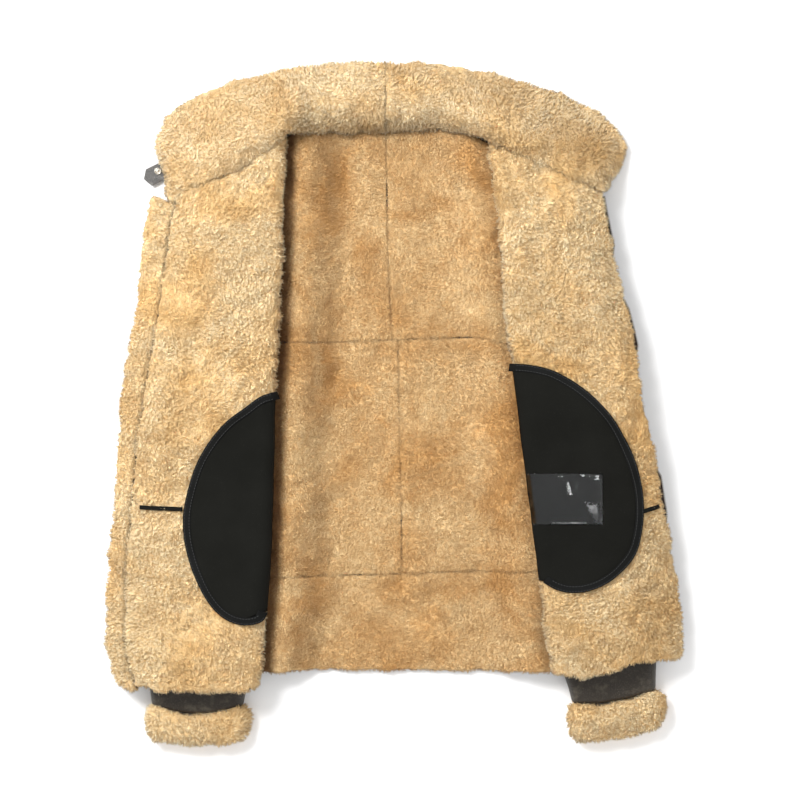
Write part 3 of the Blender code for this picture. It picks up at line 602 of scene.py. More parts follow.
def thick_wall(name, grid, face_side, back_side, finishes, pile=0.0, ring=False, turned=False,
               rounding=4.0, ending="_skin", painted_shade=0.0):
    """A closed wall whose face lies face_side off the grid and whose back lies back_side off."""
    rows, columns = grid.shape[:2]
    along = np.roll(grid, -1, 1) - np.roll(grid, 1, 1) if ring else np.gradient(grid, axis=1)
    normal = np.cross(along, np.gradient(grid, axis=0)) * (-1 if turned else 1)
    normal /= np.maximum(np.linalg.norm(normal, axis=2, keepdims=True), 1e-9)
    rim = from_ends(grid, 0) if ring else np.minimum(from_ends(grid, 0), from_ends(grid, 1))
    full = np.sqrt(1 - (1 - np.clip(rim / rounding, 0, 1)) ** 2)[..., None]
    face = (grid + normal * face_side * full).reshape(-1, 3)
    back = (grid - normal * back_side * full).reshape(-1, 3)
    shared = rim.reshape(-1) <= 1e-6
    number = np.arange(rows * columns)
    under = np.where(shared, number, rows * columns + np.cumsum(~shared) - 1)
    i, j = np.meshgrid(np.arange(rows - 1), np.arange(columns if ring else columns - 1),
                       indexing="ij")
    i, j = i.ravel(), j.ravel()
    k = (j + 1) % columns
    quads = np.stack([i * columns + j, i * columns + k, (i + 1) * columns + k,
                      (i + 1) * columns + j], axis=1)
    if turned:
        quads = quads[:, ::-1]
    faces = np.concatenate([quads, under[quads][:, ::-1]])
    points = np.concatenate([face, back[~shared]]) * MM
    mesh = bpy.data.meshes.new(name + ending)
    mesh.from_pydata(points.tolist(), [], faces.tolist())
    for made in finishes:
        mesh.materials.append(made)
    last = len(finishes) - 1
    mesh.polygons.foreach_set("material_index", [0] * len(quads) + [last] * len(quads))
    mesh.shade_smooth()
    # The third attribute carries painted shade for the wool's finish.
    for key, amount in (("pile", pile), ("inside", np.clip(rim / 9, 0, 1)), ("painted_shade", painted_shade)):
        values = np.zeros(len(points))
        values[:rows * columns] = (np.zeros((rows, columns)) + amount).reshape(-1)
        mesh.attributes.new(key, "FLOAT", "POINT").data.foreach_set("value", values)
    made = bpy.data.objects.new(name + ending, mesh)
    bpy.context.scene.collection.objects.link(made)
    SIZES[name] = cut_size(grid, ring)
    return made


print("rim steps:", EDGE_STEPS.tolist(), "mm")

# %% Grids of the back
def back_grid(low, high, inner, outer, columns, rows):
    """A skin between two lines across and two lines up, at the back's height."""
    t, v = np.meshgrid(columns, rows)
    x, y = 0 * t, 0 * t
    for _ in range(6):
        y = lerp(low(x), high(x), v)
        x = lerp(inner(y), outer(y), t)
    return np.stack([x, y, back_height(x, y)], axis=2)


def fine_then_coarse(length, fine, step=STEP, coarse=11.0):
    """Close columns where the skin shows, and wide ones where a front covers it."""
    near = EDGE_STEPS[:-1]
    shown = np.linspace(EDGE_STEPS[-1], fine, round(fine / step))
    hidden = np.linspace(fine, length - 6, round((length - fine) / coarse))[1:]
    return np.concatenate([near, shown, hidden, [length - 3, length - 1, length]]) / length


def seen_on_back(grid):
    """Wool shows between the fronts, and a little way in under them and at the hem."""
    x, y = grid[..., 0], grid[..., 1]
    fold = np.where(x < 0, hermite(SIDES["right"]["fold"], y), hermite(SIDES["left"]["fold"], y))
    under = ease((np.abs(x) - fold - 6) / 14)
    return 1 - under * (1 - 0.6 * ease((-296 - y) / 10))


def shaded_on_back(grid):
    """Painted shadow: full beside the front that casts it, a quarter as strong beside the other front,
    and a little painted shade under the neck seam.
    """
    x, y = grid[..., 0], grid[..., 1]
    beside = ease((-x - hermite(SIDES["right"]["fold"], y) + 17) / 10)
    other = 0.25 * ease((x - hermite(SIDES["left"]["fold"], y) + 14) / 10)
    neck = 0.3 * ease(1 - (neck_line(x) - y) / 18)
    return np.maximum(np.maximum(beside, other), neck)


SKIN_DEPTH, SEAM_BITE = 3.0, 0.7
BACKS = {}
for name, side in SIDES.items():
    edge = lambda y, side=side: side["sign"] * hermite(side["side"], y)
    columns = fine_then_coarse(265, 175)
    for part, seam, low, high, long in (
            ("upper", CENTRE_SEAM_UPPER, lambda x: hermite(CROSS_SEAM, x) - SEAM_BITE,
             shoulder_line, 250),
            ("lower", CENTRE_SEAM, lambda x: hermite(BAND_SEAM, x) - SEAM_BITE,
             lambda x: hermite(CROSS_SEAM, x) + SEAM_BITE, 285)):
        line = lambda y, seam=seam, side=side: hermite(seam, y) - side["sign"] * SEAM_BITE
        grid = back_grid(low, high, line, edge, columns, closer_at_ends(long))
        BACKS["back_" + part + "_" + name] = (grid, side["sign"] < 0)
half = fine_then_coarse(265, 175)
columns = np.concatenate([-half[::-1][:-1], half[5:]])
right_edge = lambda y: -hermite(SIDES["right"]["side"], y)
left_edge = lambda y: hermite(SIDES["left"]["side"], y)
t, v = np.meshgrid(columns, closer_at_ends(115))
x, y = 0 * t, 0 * t
for _ in range(6):
    y = lerp(hermite(BACK_HEM, x) + FUR_OUT, hermite(BAND_SEAM, x) + SEAM_BITE, v)
    x = lerp(9.0, np.where(t < 0, right_edge(y), left_edge(y)), np.abs(t))
BACKS["back_hem_band"] = (np.stack([x, y, back_height(x, y)], axis=2), False)
WALLS = {}
for name, (grid, turned) in BACKS.items():
    WALLS[name] = thick_wall(name, grid, WALL / 2 - SKIN_DEPTH, WALL / 2,
                             [WOOL["wool_back"], HIDE], seen_on_back(grid), turned=turned,
                             painted_shade=shaded_on_back(grid))
print("back:", {name: len(wall.data.polygons) for name, wall in WALLS.items()})

# %% Grids of the fronts, the wind flap and the collar
def front_grid(side):
    """Rows from the hem up. Columns from the side seam in, round the fold, and out again."""
    hidden = np.concatenate([1 - EDGE_STEPS[:-1] / 110, np.linspace(0.95, 0.12, 9), [0.04]])
    roll = np.radians(np.linspace(-90, 90, 9))
    shown = closer_at_ends(175)[5:]
    kind = np.repeat((0, 1, 2), (len(hidden), len(roll), len(shown)))
    t, v = np.meshgrid(np.concatenate([hidden, roll, shown]), closer_at_ends(600))
    kind = kind + 0 * v
    u, y = 200 + 0 * t, lerp(-340.0, 290.0, v)
    for _ in range(7):
        centre = hermite(side["fold"], y) + FOLD_OUTER
        u = np.where(kind == 0, lerp(centre, hermite(side["side"], y), t),
                     np.where(kind == 1, centre - FOLD_RADIUS * np.cos(t),
                              lerp(centre, hermite(side["edge"], y) - FUR_OUT, t)))
        top = np.where(kind == 0, shoulder_line(side["sign"] * u), neck_line(side["sign"] * u))
        y = lerp(hermite(side["hem"], u) + FUR_OUT + HEM_LOCKS, top, v)
    centre = hermite(side["fold"], y) + FOLD_OUTER
    z = np.where(kind == 0, hidden_height(side, u, y),
                 np.where(kind == 1, hidden_height(side, centre, y) + FOLD_RADIUS * (1 + np.sin(t)),
                          shown_height(side, u, y)))
    near_fold = ease(1 - (u - centre) / 16)
    at_hem = ease((-306 - y) / 12)
    pile = np.where(kind == 0, np.maximum(near_fold, 0.6 * at_hem), 1.0)
    return np.stack([side["sign"] * u, y, z], axis=2), pile


def inside_outline(x, y, outline):
    """True where a point lies inside a closed outline of x, y points."""
    found = np.zeros(np.shape(x), bool)
    for (ax, ay), (bx, by) in zip(outline, np.roll(outline, -1, axis=0)):
        if ay == by:
            continue
        crosses = (ay > y) != (by > y)
        found ^= crosses & (x < (bx - ax) * (y - ay) / (by - ay) + ax)
    return found


for name, side in SIDES.items():
    grid, pile = front_grid(side)
    bag = BAGS[name]
    outline = np.array([(u, y) for u, y in bag["arc"]])
    inner = outline + 5.0 * (outline.mean(axis=0) - outline) / 100
    u = side["sign"] * grid[..., 0]
    covered = inside_outline(u, grid[..., 1], inner)
    covered |= (u < hermite(side["fold"], grid[..., 1]) + 16) & (
        grid[..., 1] < bag["arc"][0][1] - 8) & (grid[..., 1] > bag["arc"][-1][1] + 8)
    pile = np.where(covered & (grid[..., 2] > 45), 0.0, pile)
    WALLS["front_" + name] = thick_wall("front_" + name, grid, WALL / 2 - SKIN_DEPTH, WALL / 2,
                                        [WOOL["wool_front"], HIDE], pile, turned=side["sign"] < 0)

side = SIDES["right"]
v = closer_at_ends(600)
rows = np.interp(v, np.linspace(0, 1, len(FLAP)), np.arange(len(FLAP)))
table = [(i,) + row for i, row in enumerate(FLAP)]
inner_y, outer_u, outer_y = (hermite(table, rows, k)[:, None] for k in (1, 2, 3))
t = closer_at_ends(25, 3.4)[None, :]
u = lerp(hermite(side["edge"], inner_y) - FUR_OUT, outer_u - FUR_OUT, t)
y = lerp(inner_y, outer_y, t)
grid = np.stack([-u, y, shown_height(side, u, y) - FLAP_STEP], axis=2)
# The flap's inner edge gets painted shade: a dark line where it lies a step below the front.
WALLS["wind_flap"] = thick_wall("wind_flap", grid, WALL / 2 - SKIN_DEPTH, WALL / 2,
                                [WOOL["wool_front"], HIDE], 1.0, painted_shade=0.5 * ease(1 - t / 0.25))


def collar_grid(name):
    table = [(i,) + row for i, row in enumerate(COLLAR[name])]
    points = np.array(COLLAR[name])
    lengths = np.concatenate([[0], np.cumsum(np.hypot(*np.diff(points[:, 2:4], axis=0).T))])
    at = np.interp(closer_at_ends(lengths[-1]) * lengths[-1], lengths, np.arange(len(lengths)))
    neck_x, neck_y, outer_x, outer_y, low, dome = (hermite(table, at, k)[:, None]
                                                   for k in range(1, 7))
    neck_y = hermite(NECK, neck_x) - 1.5
    apart = np.hypot(outer_x - neck_x, outer_y - neck_y)
    outer_x = outer_x - (outer_x - neck_x) / apart * FUR_OUT
    outer_y = outer_y - (outer_y - neck_y) / apart * FUR_OUT
    fold = np.where(neck_x < 0, hermite(SIDES["right"]["fold"], neck_y),
                    hermite(SIDES["left"]["fold"], neck_y))
    on_back = np.maximum(COLLAR_NECK_LOW, back_height(neck_x, neck_y) + 4)
    on_front = np.where(
        neck_x < 0, shown_height(SIDES["right"], np.maximum(-neck_x, fold + FOLD_OUTER), neck_y),
        shown_height(SIDES["left"], np.maximum(neck_x, fold + FOLD_OUTER), neck_y))
    start = lerp(on_back, on_front, ease((np.abs(neck_x) - fold + 34) / 34))
    t = closer_at_ends(90)[None, :]
    z = lerp(start, low, ease(t**1.15)) + dome * np.sin(np.pi * t**0.85)
    x, y = lerp(neck_x, outer_x, t), lerp(neck_y, outer_y, t)
    # Painted shade along the neck seam, fading out over 26 mm from it and beyond the fold lines.
    painted_shade = 0.34 * ease(1 - t * apart / 26) * ease((140 - np.abs(neck_x)) / 30)
    return np.stack([x, y, z], axis=2), painted_shade


for name in SIDES:
    grid, painted_shade = collar_grid(name)
    WALLS["collar_" + name] = thick_wall("collar_" + name, grid,
                                         WALL / 2 - SKIN_DEPTH, WALL / 2,
                                         [WOOL["wool_collar"], HIDE], 1.0, turned=True,
                                         rounding=3.0, painted_shade=painted_shade)
print("fronts and collar:", {name: len(wall.data.polygons) for name, wall in WALLS.items()
                             if "back" not in name})

# %% Sleeves and cuffs
def flat_ring(half_wide, half_high, count=26):
    """A tube lying flat: two straight runs and two half circles, about its middle."""
    flat = half_wide - half_high
    turn = np.radians(np.linspace(-90, 90, 11))
    run = np.linspace(flat, -flat, count)[1:-1]
    x = np.concatenate([flat + half_high * np.cos(turn), run, -flat - half_high * np.cos(turn),
                        -run])
    z = np.concatenate([half_high * np.sin(turn), half_high + 0 * run,
                        -half_high * np.sin(turn), -half_high + 0 * run])
    return x, z


def tube_grid(sign, table, thick, long, step=STEP):
    """table: y, inner u, outer u, tilt, bow, full height, from the top down."""
    lengths = np.abs(np.array([row[0] for row in table]) - table[0][0])
    at = np.interp(closer_at_ends(long, step) * lengths[-1], lengths, np.arange(len(table)))
    numbered = [(i,) + tuple(row) for i, row in enumerate(table)]
    grid = []
    for i in at:
        y0, inner, outer, tilt, bow, high = (float(hermite(numbered, i, k)) for k in range(1, 7))
        widest = (table[len(table) // 2][2] - table[len(table) // 2][1]) / 2
        half = (outer - inner) / 2 - thick / 2
        x, z = flat_ring(widest, (high - thick) / 2)
        x = x * half / widest
        y = y0 + tilt * x + bow * (1 - (x / END_BOW_HALF) ** 2)
        grid.append(np.stack([sign * ((inner + outer) / 2 + x), y, high / 2 + z], axis=1))
    return np.array(grid)


for name, side in SIDES.items():
    rows = [row + (SLEEVE_HIGH,) for row in side["sleeve"]]
    grid = tube_grid(side["sign"], rows, WALL, 630, 16.0)
    WALLS["sleeve_" + name] = thick_wall("sleeve_" + name, grid, WALL / 2, WALL / 2,
                                         [HIDE, WOOL["wool_back"]], ring=True,
                                         turned=side["sign"] < 0)
    rows = []
    for i, (y, inner, outer) in enumerate(side["cuff"]):
        grow = float(ease(min(i, len(side["cuff"]) - 1 - i) / 2))
        rows.append((y, inner + FUR_OUT, outer - FUR_OUT, side["cuff_tilt"], side["cuff_bow"],
                     lerp(SLEEVE_HIGH + 1.0, CUFF_HIGH, grow)))
    grid = tube_grid(side["sign"], rows, CUFF_WALL, 36, 3.6)
    pile = ease((grid[..., 2] - 11) / 5)
    WALLS["cuff_" + name] = thick_wall("cuff_" + name, grid,
                                       (CUFF_WALL / 2 - SKIN_DEPTH * pile)[..., None],
                                       CUFF_WALL / 2 - 0.5, [WOOL["wool_front"]], pile, ring=True,
                                       turned=side["sign"] < 0)
print("walls:", len(WALLS), "with", sum(len(w.data.polygons) for w in WALLS.values()), "quads")

# %% [markdown]
# ## The wool
#
# A fleece isn't even: its fibres curl together into small tufts, each one pale on top with a dark
# pit beside it, and larger lumps run under them. Two node trees share one pattern of tufts. The
# first raises lumps and tufts on the wall. The second plants thousands of small bent locks that
# lean towards the middle of their tuft, as curls do, each a blade of three triangles.

# %% Node groups with named inputs
KINDS = {float: "NodeSocketFloat", int: "NodeSocketInt", tuple: "NodeSocketVector",
         bpy.types.Object: "NodeSocketObject", bpy.types.Material: "NodeSocketMaterial"}


def node_group(name, inputs):
    """An empty Geometry Nodes group; returns it with its input node."""
    tree = bpy.data.node_groups.new(name, "GeometryNodeTree")
    tree.interface.new_socket("Geometry", in_out="INPUT", socket_type="NodeSocketGeometry")
    for key, kind in inputs.items():
        tree.interface.new_socket(key, in_out="INPUT", socket_type=KINDS[kind])
    tree.interface.new_socket("Geometry", in_out="OUTPUT", socket_type="NodeSocketGeometry")
    return tree, node(tree, "NodeGroupInput").outputs


def grown(source, tree, name, **values):
    """Runs a node group on an object and keeps the result as a plain mesh in a new object."""
    modifier = source.modifiers.new("growth", "NODES")
    modifier.node_group = tree
    for item in tree.interface.items_tree:
        if item.in_out == "INPUT" and item.name.replace(" ", "_") in values:
            modifier[item.identifier] = values[item.name.replace(" ", "_")]
    graph = bpy.context.evaluated_depsgraph_get()
    mesh = bpy.data.meshes.new_from_object(source.evaluated_get(graph))
    source.modifiers.remove(modifier)
    mesh.name = name
    made = bpy.data.objects.new(name, mesh)
    bpy.context.scene.collection.objects.link(made)
    return made


def switch_mesh(obj, made):
    """Gives an object the mesh of another one, which goes away."""
    mesh = made.data
    bpy.data.objects.remove(made)
    obj.data = mesh


def curliness(tree, least):
    """From least to 1: brushed areas that lie smooth, and curly ones between them."""
    where = node(tree, "GeometryNodeInputPosition").outputs[0]
    slow = node(tree, "ShaderNodeTexNoise", {"Vector": where, "Scale": 17.0, "Detail": 2.0,
                                             "Roughness": 0.55, "Distortion": 0.4}).outputs[0]
    return node(tree, "ShaderNodeMapRange", {"Value": slow, 1: 0.44, 2: 0.58, 3: least, 4: 1.0},
                clamp=True).outputs[0]


def tufts(tree, tuft_size, curl):
    """The pattern of tufts: distance to a tuft's middle, the way there, and its own number."""
    where = node(tree, "GeometryNodeInputPosition").outputs[0]
    wind = node(tree, "ShaderNodeTexNoise", {"Vector": where, "Scale": 70.0, "Detail": 2.0})
    shift = vector_maths(tree, "SUBTRACT", wind.outputs[1], (0.5, 0.5, 0.5))
    bent = vector_maths(tree, "MULTIPLY_ADD", shift, curl, where)
    scale = maths(tree, "DIVIDE", 1.0, tuft_size)
    cells = node(tree, "ShaderNodeTexVoronoi", {"Vector": bent, "Scale": scale})
    way = vector_maths(tree, "SUBTRACT", cells.outputs["Position"], bent)
    return cells.outputs["Distance"], way, cells.outputs["Color"]


# %% Lumps and tufts on a wall
SURFACE, given = node_group("fleece_surface", {
    "Tuft Size": float, "Tuft Height": float, "Lump Size": float, "Lump Height": float,
    "Curl": tuple, "Brushed": float})
distance, way, number = tufts(SURFACE, given["Tuft Size"], given["Curl"])
dome = spread(SURFACE, distance, 0.15, 0.62, 1.0, 0.0)
where = node(SURFACE, "GeometryNodeInputPosition").outputs[0]
lumps = node(SURFACE, "ShaderNodeTexNoise", {
    "Vector": where, "Scale": maths(SURFACE, "DIVIDE", 1.0, given["Lump Size"]), "Detail": 2.0,
    "Roughness": 0.6}).outputs[0]
lumps = spread(SURFACE, lumps, 0.3, 0.7, -1.0, 1.0)
curly = curliness(SURFACE, given["Brushed"])
dome = maths(SURFACE, "MULTIPLY", dome, curly)
rise = maths(SURFACE, "ADD", maths(SURFACE, "MULTIPLY", dome, given["Tuft Height"]),
             maths(SURFACE, "MULTIPLY", lumps, given["Lump Height"]))
pile = node(SURFACE, "GeometryNodeInputNamedAttribute", {"Name": "pile"}).outputs[0]
rise = maths(SURFACE, "MULTIPLY", rise, pile)
normal = node(SURFACE, "GeometryNodeInputNormal").outputs[0]
moved = node(SURFACE, "GeometryNodeSetPosition", {"Geometry": given["Geometry"],
                                                  "Offset": scaled(SURFACE, normal, rise)})
node(SURFACE, "NodeGroupOutput", {"Geometry": moved.outputs[0]})

# %% Locks of wool
def make_blade(name, length, width):
    """One lock: a strip that bends over and ends in a point, with `tip` from 0 to 1 along it."""
    half = width / 2
    points = [(-half, 0, -0.12 * length), (half, 0, -0.12 * length), (-half * 0.8, 0, length * 0.5),
              (half * 0.8, 0, length * 0.5), (0, length * 0.36, length * 0.86)]
    mesh = bpy.data.meshes.new(name)
    mesh.from_pydata(points, [], [(0, 1, 3, 2), (2, 3, 4)])
    mesh.shade_smooth()
    along = mesh.attributes.new("tip", "FLOAT", "POINT")
    along.data.foreach_set("value", [0.0, 0.0, 0.6, 0.6, 1.0])
    made = bpy.data.objects.new(name, mesh)
    return made


BLADE = make_blade("wool_lock", 0.0064, 0.0013)

FLEECE, given = node_group("fleece_locks", {
    "Blade": bpy.types.Object, "Material": bpy.types.Material, "Density": float, "Seed": int,
    "Tuft Size": float, "Curl": tuple, "Gather": float, "Swirl": float, "Nap": tuple,
    "Smallest": float, "Largest": float, "Brushed": float})
pile = node(FLEECE, "GeometryNodeInputNamedAttribute", {"Name": "pile"}).outputs[0]
inside = node(FLEECE, "GeometryNodeInputNamedAttribute", {"Name": "inside"}).outputs[0]
curly = curliness(FLEECE, given["Brushed"])
density = maths(FLEECE, "MULTIPLY", maths(FLEECE, "MULTIPLY", given["Density"], pile),
                spread(FLEECE, inside, 0.0, 1.0, 1.4, 1.0))
points = node(FLEECE, "GeometryNodeDistributePointsOnFaces", {
    "Mesh": given["Geometry"], "Seed": given["Seed"]})
FLEECE.links.new(density, points.inputs["Density"])
distance, way, number = tufts(FLEECE, given["Tuft Size"], given["Curl"])
where = node(FLEECE, "GeometryNodeInputPosition").outputs[0]
gather = scaled(FLEECE, scaled(FLEECE, way, maths(
    FLEECE, "DIVIDE", given["Gather"], given["Tuft Size"])), curly)
eddies = node(FLEECE, "ShaderNodeTexNoise", {"Vector": where, "Scale": 130.0, "Detail": 1.0})
swirl = scaled(FLEECE, scaled(FLEECE, vector_maths(
    FLEECE, "SUBTRACT", eddies.outputs[1], (0.5, 0.5, 0.5)), given["Swirl"]), curly)
strokes = node(FLEECE, "ShaderNodeTexNoise", {"Vector": where, "Scale": 13.0, "Detail": 2.0})
stroke = scaled(FLEECE, vector_maths(FLEECE, "SUBTRACT", strokes.outputs[1], (0.5, 0.5, 0.5)), 5.0)
stray = node(FLEECE, "FunctionNodeRandomValue", {0: (-0.25, -0.25, -0.25), 1: (0.25, 0.25, 0.25),
                                                 8: given["Seed"]},
             data_type="FLOAT_VECTOR").outputs[0]
lean = vector_maths(FLEECE, "ADD", vector_maths(FLEECE, "ADD", gather, swirl),
                    vector_maths(FLEECE, "ADD", stray,
                                 vector_maths(FLEECE, "ADD", stroke, given["Nap"])))
heading = vector_maths(FLEECE, "ADD", points.outputs["Normal"], lean)
turn = node(FLEECE, "FunctionNodeRandomValue", {2: 0.0, 3: 6.283, 8: maths(
    FLEECE, "ADD", given["Seed"], 7)}, data_type="FLOAT").outputs[1]
spin = node(FLEECE, "FunctionNodeAxisAngleToRotation", {"Axis": (0, 0, 1), "Angle": turn})
aligned = node(FLEECE, "FunctionNodeAlignRotationToVector", {"Vector": heading}, axis="Z")
rotation = node(FLEECE, "FunctionNodeRotateRotation", {
    "Rotation": aligned.outputs[0], "Rotate By": spin.outputs[0]}, rotation_space="LOCAL")
size = node(FLEECE, "FunctionNodeRandomValue", {2: given["Smallest"], 3: given["Largest"],
                                                8: maths(FLEECE, "ADD", given["Seed"], 3)},
            data_type="FLOAT").outputs[1]
blade = node(FLEECE, "GeometryNodeObjectInfo", {"Object": given["Blade"]})
size = maths(FLEECE, "MULTIPLY", size, spread(FLEECE, inside, 0.0, 1.0, 0.75, 1.0))
locks = node(FLEECE, "GeometryNodeInstanceOnPoints", {
    "Points": points.outputs[0], "Instance": blade.outputs["Geometry"],
    "Rotation": rotation.outputs[0], "Scale": size})
own = node(FLEECE, "FunctionNodeRandomValue", {2: 0.0, 3: 1.0, 8: maths(
    FLEECE, "ADD", given["Seed"], 5)}, data_type="FLOAT").outputs[1]
red = node(FLEECE, "ShaderNodeSeparateXYZ", {0: number}).outputs[0]
tone = maths(FLEECE, "ADD", maths(FLEECE, "MULTIPLY", own, 0.5),
             maths(FLEECE, "MULTIPLY", red, 0.5))
stored = node(FLEECE, "GeometryNodeStoreNamedAttribute", {
    "Geometry": locks.outputs[0], "Name": "tone"}, data_type="FLOAT", domain="INSTANCE")
FLEECE.links.new(tone, stored.inputs["Value"])
lie = node(FLEECE, "GeometryNodeStoreNamedAttribute", {
    "Geometry": stored.outputs[0], "Name": "lie"}, data_type="FLOAT_VECTOR", domain="INSTANCE")
FLEECE.links.new(points.outputs["Normal"], lie.inputs["Value"])
real = node(FLEECE, "GeometryNodeRealizeInstances", {"Geometry": lie.outputs[0]})
coloured = node(FLEECE, "GeometryNodeSetMaterial", {"Geometry": real.outputs[0],
                                                    "Material": given["Material"]})
node(FLEECE, "NodeGroupOutput", {"Geometry": coloured.outputs[0]})

# %% Growing the wool
FLEECES = {
    "wool_front": dict(tuft=0.0062, height=0.0016, lump=0.020, lumpy=0.0030, density=430e3,
                       gather=1.1, swirl=2.0, small=0.7, large=1.15, brushed=0.25),
    "wool_back": dict(tuft=0.0054, height=0.0010, lump=0.030, lumpy=0.0022, density=400e3,
                      gather=0.9, swirl=1.8, small=0.6, large=0.95, brushed=0.08),
    "wool_collar": dict(tuft=0.0062, height=0.0016, lump=0.022, lumpy=0.0030, density=430e3,
                        gather=1.1, swirl=2.0, small=0.7, large=1.15, brushed=0.15),
}
CURL = (0.006, 0.006, 0.006)
WOOLLY = {name: ("wool_back" if name.startswith("back") else
                 "wool_collar" if name.startswith("collar") else "wool_front")
          for name in WALLS if not name.startswith("sleeve")}
FUR = {}
for number, (name, kind) in enumerate(WOOLLY.items()):
    f = FLEECES[kind]
    wall = WALLS[name]
    switch_mesh(wall, grown(wall, SURFACE, name + "_skin", Tuft_Size=f["tuft"], Tuft_Height=f["height"],
                            Lump_Size=f["lump"], Lump_Height=f["lumpy"], Curl=CURL,
                            Brushed=f["brushed"]))
    FUR[name] = grown(wall, FLEECE, name + "_wool", Blade=BLADE, Material=LOCKS[kind],
                      Density=f["density"], Seed=number, Tuft_Size=f["tuft"], Curl=CURL,
                      Gather=f["gather"], Swirl=f["swirl"], Nap=(0.05, -0.25, 0.1),
                      Smallest=f["small"], Largest=f["large"], Brushed=f["brushed"])
for name, fur in FUR.items():
    print(name, "wall:", len(WALLS[name].data.polygons), "quads, wool:",
          len(fur.data.polygons) * 3 // 2, "triangles")

# %% [markdown]
# ## Pockets, window, tapes
#
# The pocket bags are black cotton twill, sewn flat on the wool with a bound edge. The bag wraps
# the fold of the front, where its pocket opens on the other side. Each is the same kind of
# closed wall as the skins, on a grid that follows the front's surface a little way above it.

# %% Sizes of the trims
BAG_THICK, BAG_CLEAR, BAG_WRAP = 2.0, 1.2, (0.8, 3.0, 7.5)
BINDING_THICK, BINDING_WIDTH = 3.2, 9.5
# The bags lie nearer to the camera than the level at which their edge was measured.
NEARER = 0.99
TAPE_THICK, TAPE_WIDTH = 1.6, 8.0
VINYL_THICK, VINYL_PUFF = 0.6, 1.5
ZIP_TAPE_THICK, ZIP_TAPE_WIDTH, ZIP_CLEAR = 1.4, 20.0, 0.9
# How far the left tape reaches past the wool: y, millimetres.
ZIP_SHOWS = ((-300, 0.5), (-150, 0.5), (-137, 7.5), (-90, 7.5), (-76, 0.5), (56, 0.5), (70, 6.5),
             (117, 6.5), (131, 0.5), (178, 0.5), (192, 6.5), (256, 6.5))
TAB_THICK, SNAP_RADIUS = 2.4, 4.3
FINE_EDGE = np.array((0.0, 0.12, 0.4, 0.9, 1.6))


def resample(points, count, near=16.0, closer=9):
    """The same run along a smooth curve, evenly spaced and closer at its ends."""
    points = np.asarray(points, float)
    along = np.concatenate([[0], np.cumsum(np.hypot(*np.diff(points, axis=0).T))])
    steps = np.concatenate([np.linspace(0, near, closer)[:-1],
                            np.linspace(near, along[-1] - near, count),
                            np.linspace(along[-1] - near, along[-1], closer)[1:]])
    table = [(s, p[0], p[1]) for s, p in zip(along, points)]
    return np.stack([hermite(table, steps, 1), hermite(table, steps, 2)], axis=1)


def inset(points, by):
    """The run moved to its inner side."""
    ahead = np.gradient(points, axis=0)
    ahead /= np.linalg.norm(ahead, axis=1)[:, None]
    return points + by * np.stack([ahead[:, 1], -ahead[:, 0]], axis=1)


def soft_wave(u, y, size, high):
    """Gentle unevenness of cloth, in millimetres."""
    return high * noise.noise(Vector((u / size, y / size, 3.7)))


def on_front(side, runs, above, waves=0.0):
    """A grid of u, y points laid over a front, `above` the middle of its wall."""
    return np.array([[shown_point(side, u, y, above + soft_wave(u, y, 34.0, waves))
                      for u, y in run] for run in runs])


TRIMS, TRIM_NODES = {}, {}


def trim(name, grid, thick, made_of, slot, rounding=1.6, turned=False, stands_for=None):
    made = thick_wall(name, grid, thick / 2, thick / 2, [made_of], rounding=rounding,
                      turned=turned, ending="_sewn")
    TRIMS[name] = made
    TRIM_NODES[name] = (stands_for or name, slot)
    return made


# %% Pocket bags and their bindings
for name, side in SIDES.items():
    bag, turned = BAGS[name], side["sign"] > 0
    arc = resample(bag["arc"], 64) * NEARER
    across_binding = closer_at_ends(BINDING_WIDTH, 2.2, FINE_EDGE)
    runs = [[lerp(a, b, t) for t in across_binding] for a, b in zip(arc, inset(arc, BINDING_WIDTH))]
    above = WALL / 2 + BAG_CLEAR + BINDING_THICK / 2
    trim("pocket_binding_" + name, on_front(side, runs, above, 0.5), BINDING_THICK - 0.8, RIBBON,
         "binding", turned=not turned)
    sewn = inset(arc, BINDING_WIDTH - 1.5)
    sewn = [end for end in sewn if end[0] > hermite(side["fold"], end[1]) + FOLD_OUTER + 6]
    runs = []
    for i, end in enumerate(sewn):
        y = lerp(*bag["straight"], i / (len(sewn) - 1))
        fold = float(hermite(side["fold"], y))
        start = np.array([fold, y])
        steps = [wrap / (end[0] - fold) for wrap in BAG_WRAP]
        top = FOLD_OUTER / (end[0] - fold)
        steps += [lerp(top, 1, t) for t in (0, 0.08, 0.17, 0.27, 0.38, 0.5, 0.62, 0.74, 0.85,
                                            0.93, 0.98, 1)]
        runs.append([lerp(start, end, t) for t in steps])
    above = WALL / 2 + BAG_CLEAR + BAG_THICK / 2
    trim("pocket_bag_" + name, on_front(side, runs, above, 0.9), BAG_THICK - 0.4, TWILL, "cloth",
         turned=not turned)

# %% The window pocket of clear vinyl
# Crumples: u, y, half width along u, half width along y, height.
CRUMPLES = ((214, -84.5, 3.0, 1.4, 1.3), (231, -85.0, 6.0, 1.5, 1.4), (247, -86.0, 4.0, 2.5, 1.5),
            (217, -101, 1.6, 7.0, 1.5), (243, -133, 6.0, 9.0, 2.2), (251, -118, 2.0, 12.0, 1.3),
            (225, -146.5, 24.0, 1.4, 1.1), (176, -132, 3.0, 10.0, 1.6))


def crumpled(u, y):
    height = VINYL_PUFF * 0.5 + 0.35 * noise.noise(Vector((u / 9.0, y / 9.0, 1.3)))
    for at_u, at_y, wide, long, high in CRUMPLES:
        away = abs(u - at_u) / wide + abs(y - at_y) / long
        height += high * max(0.0, 1 - away / 1.6)
    return height


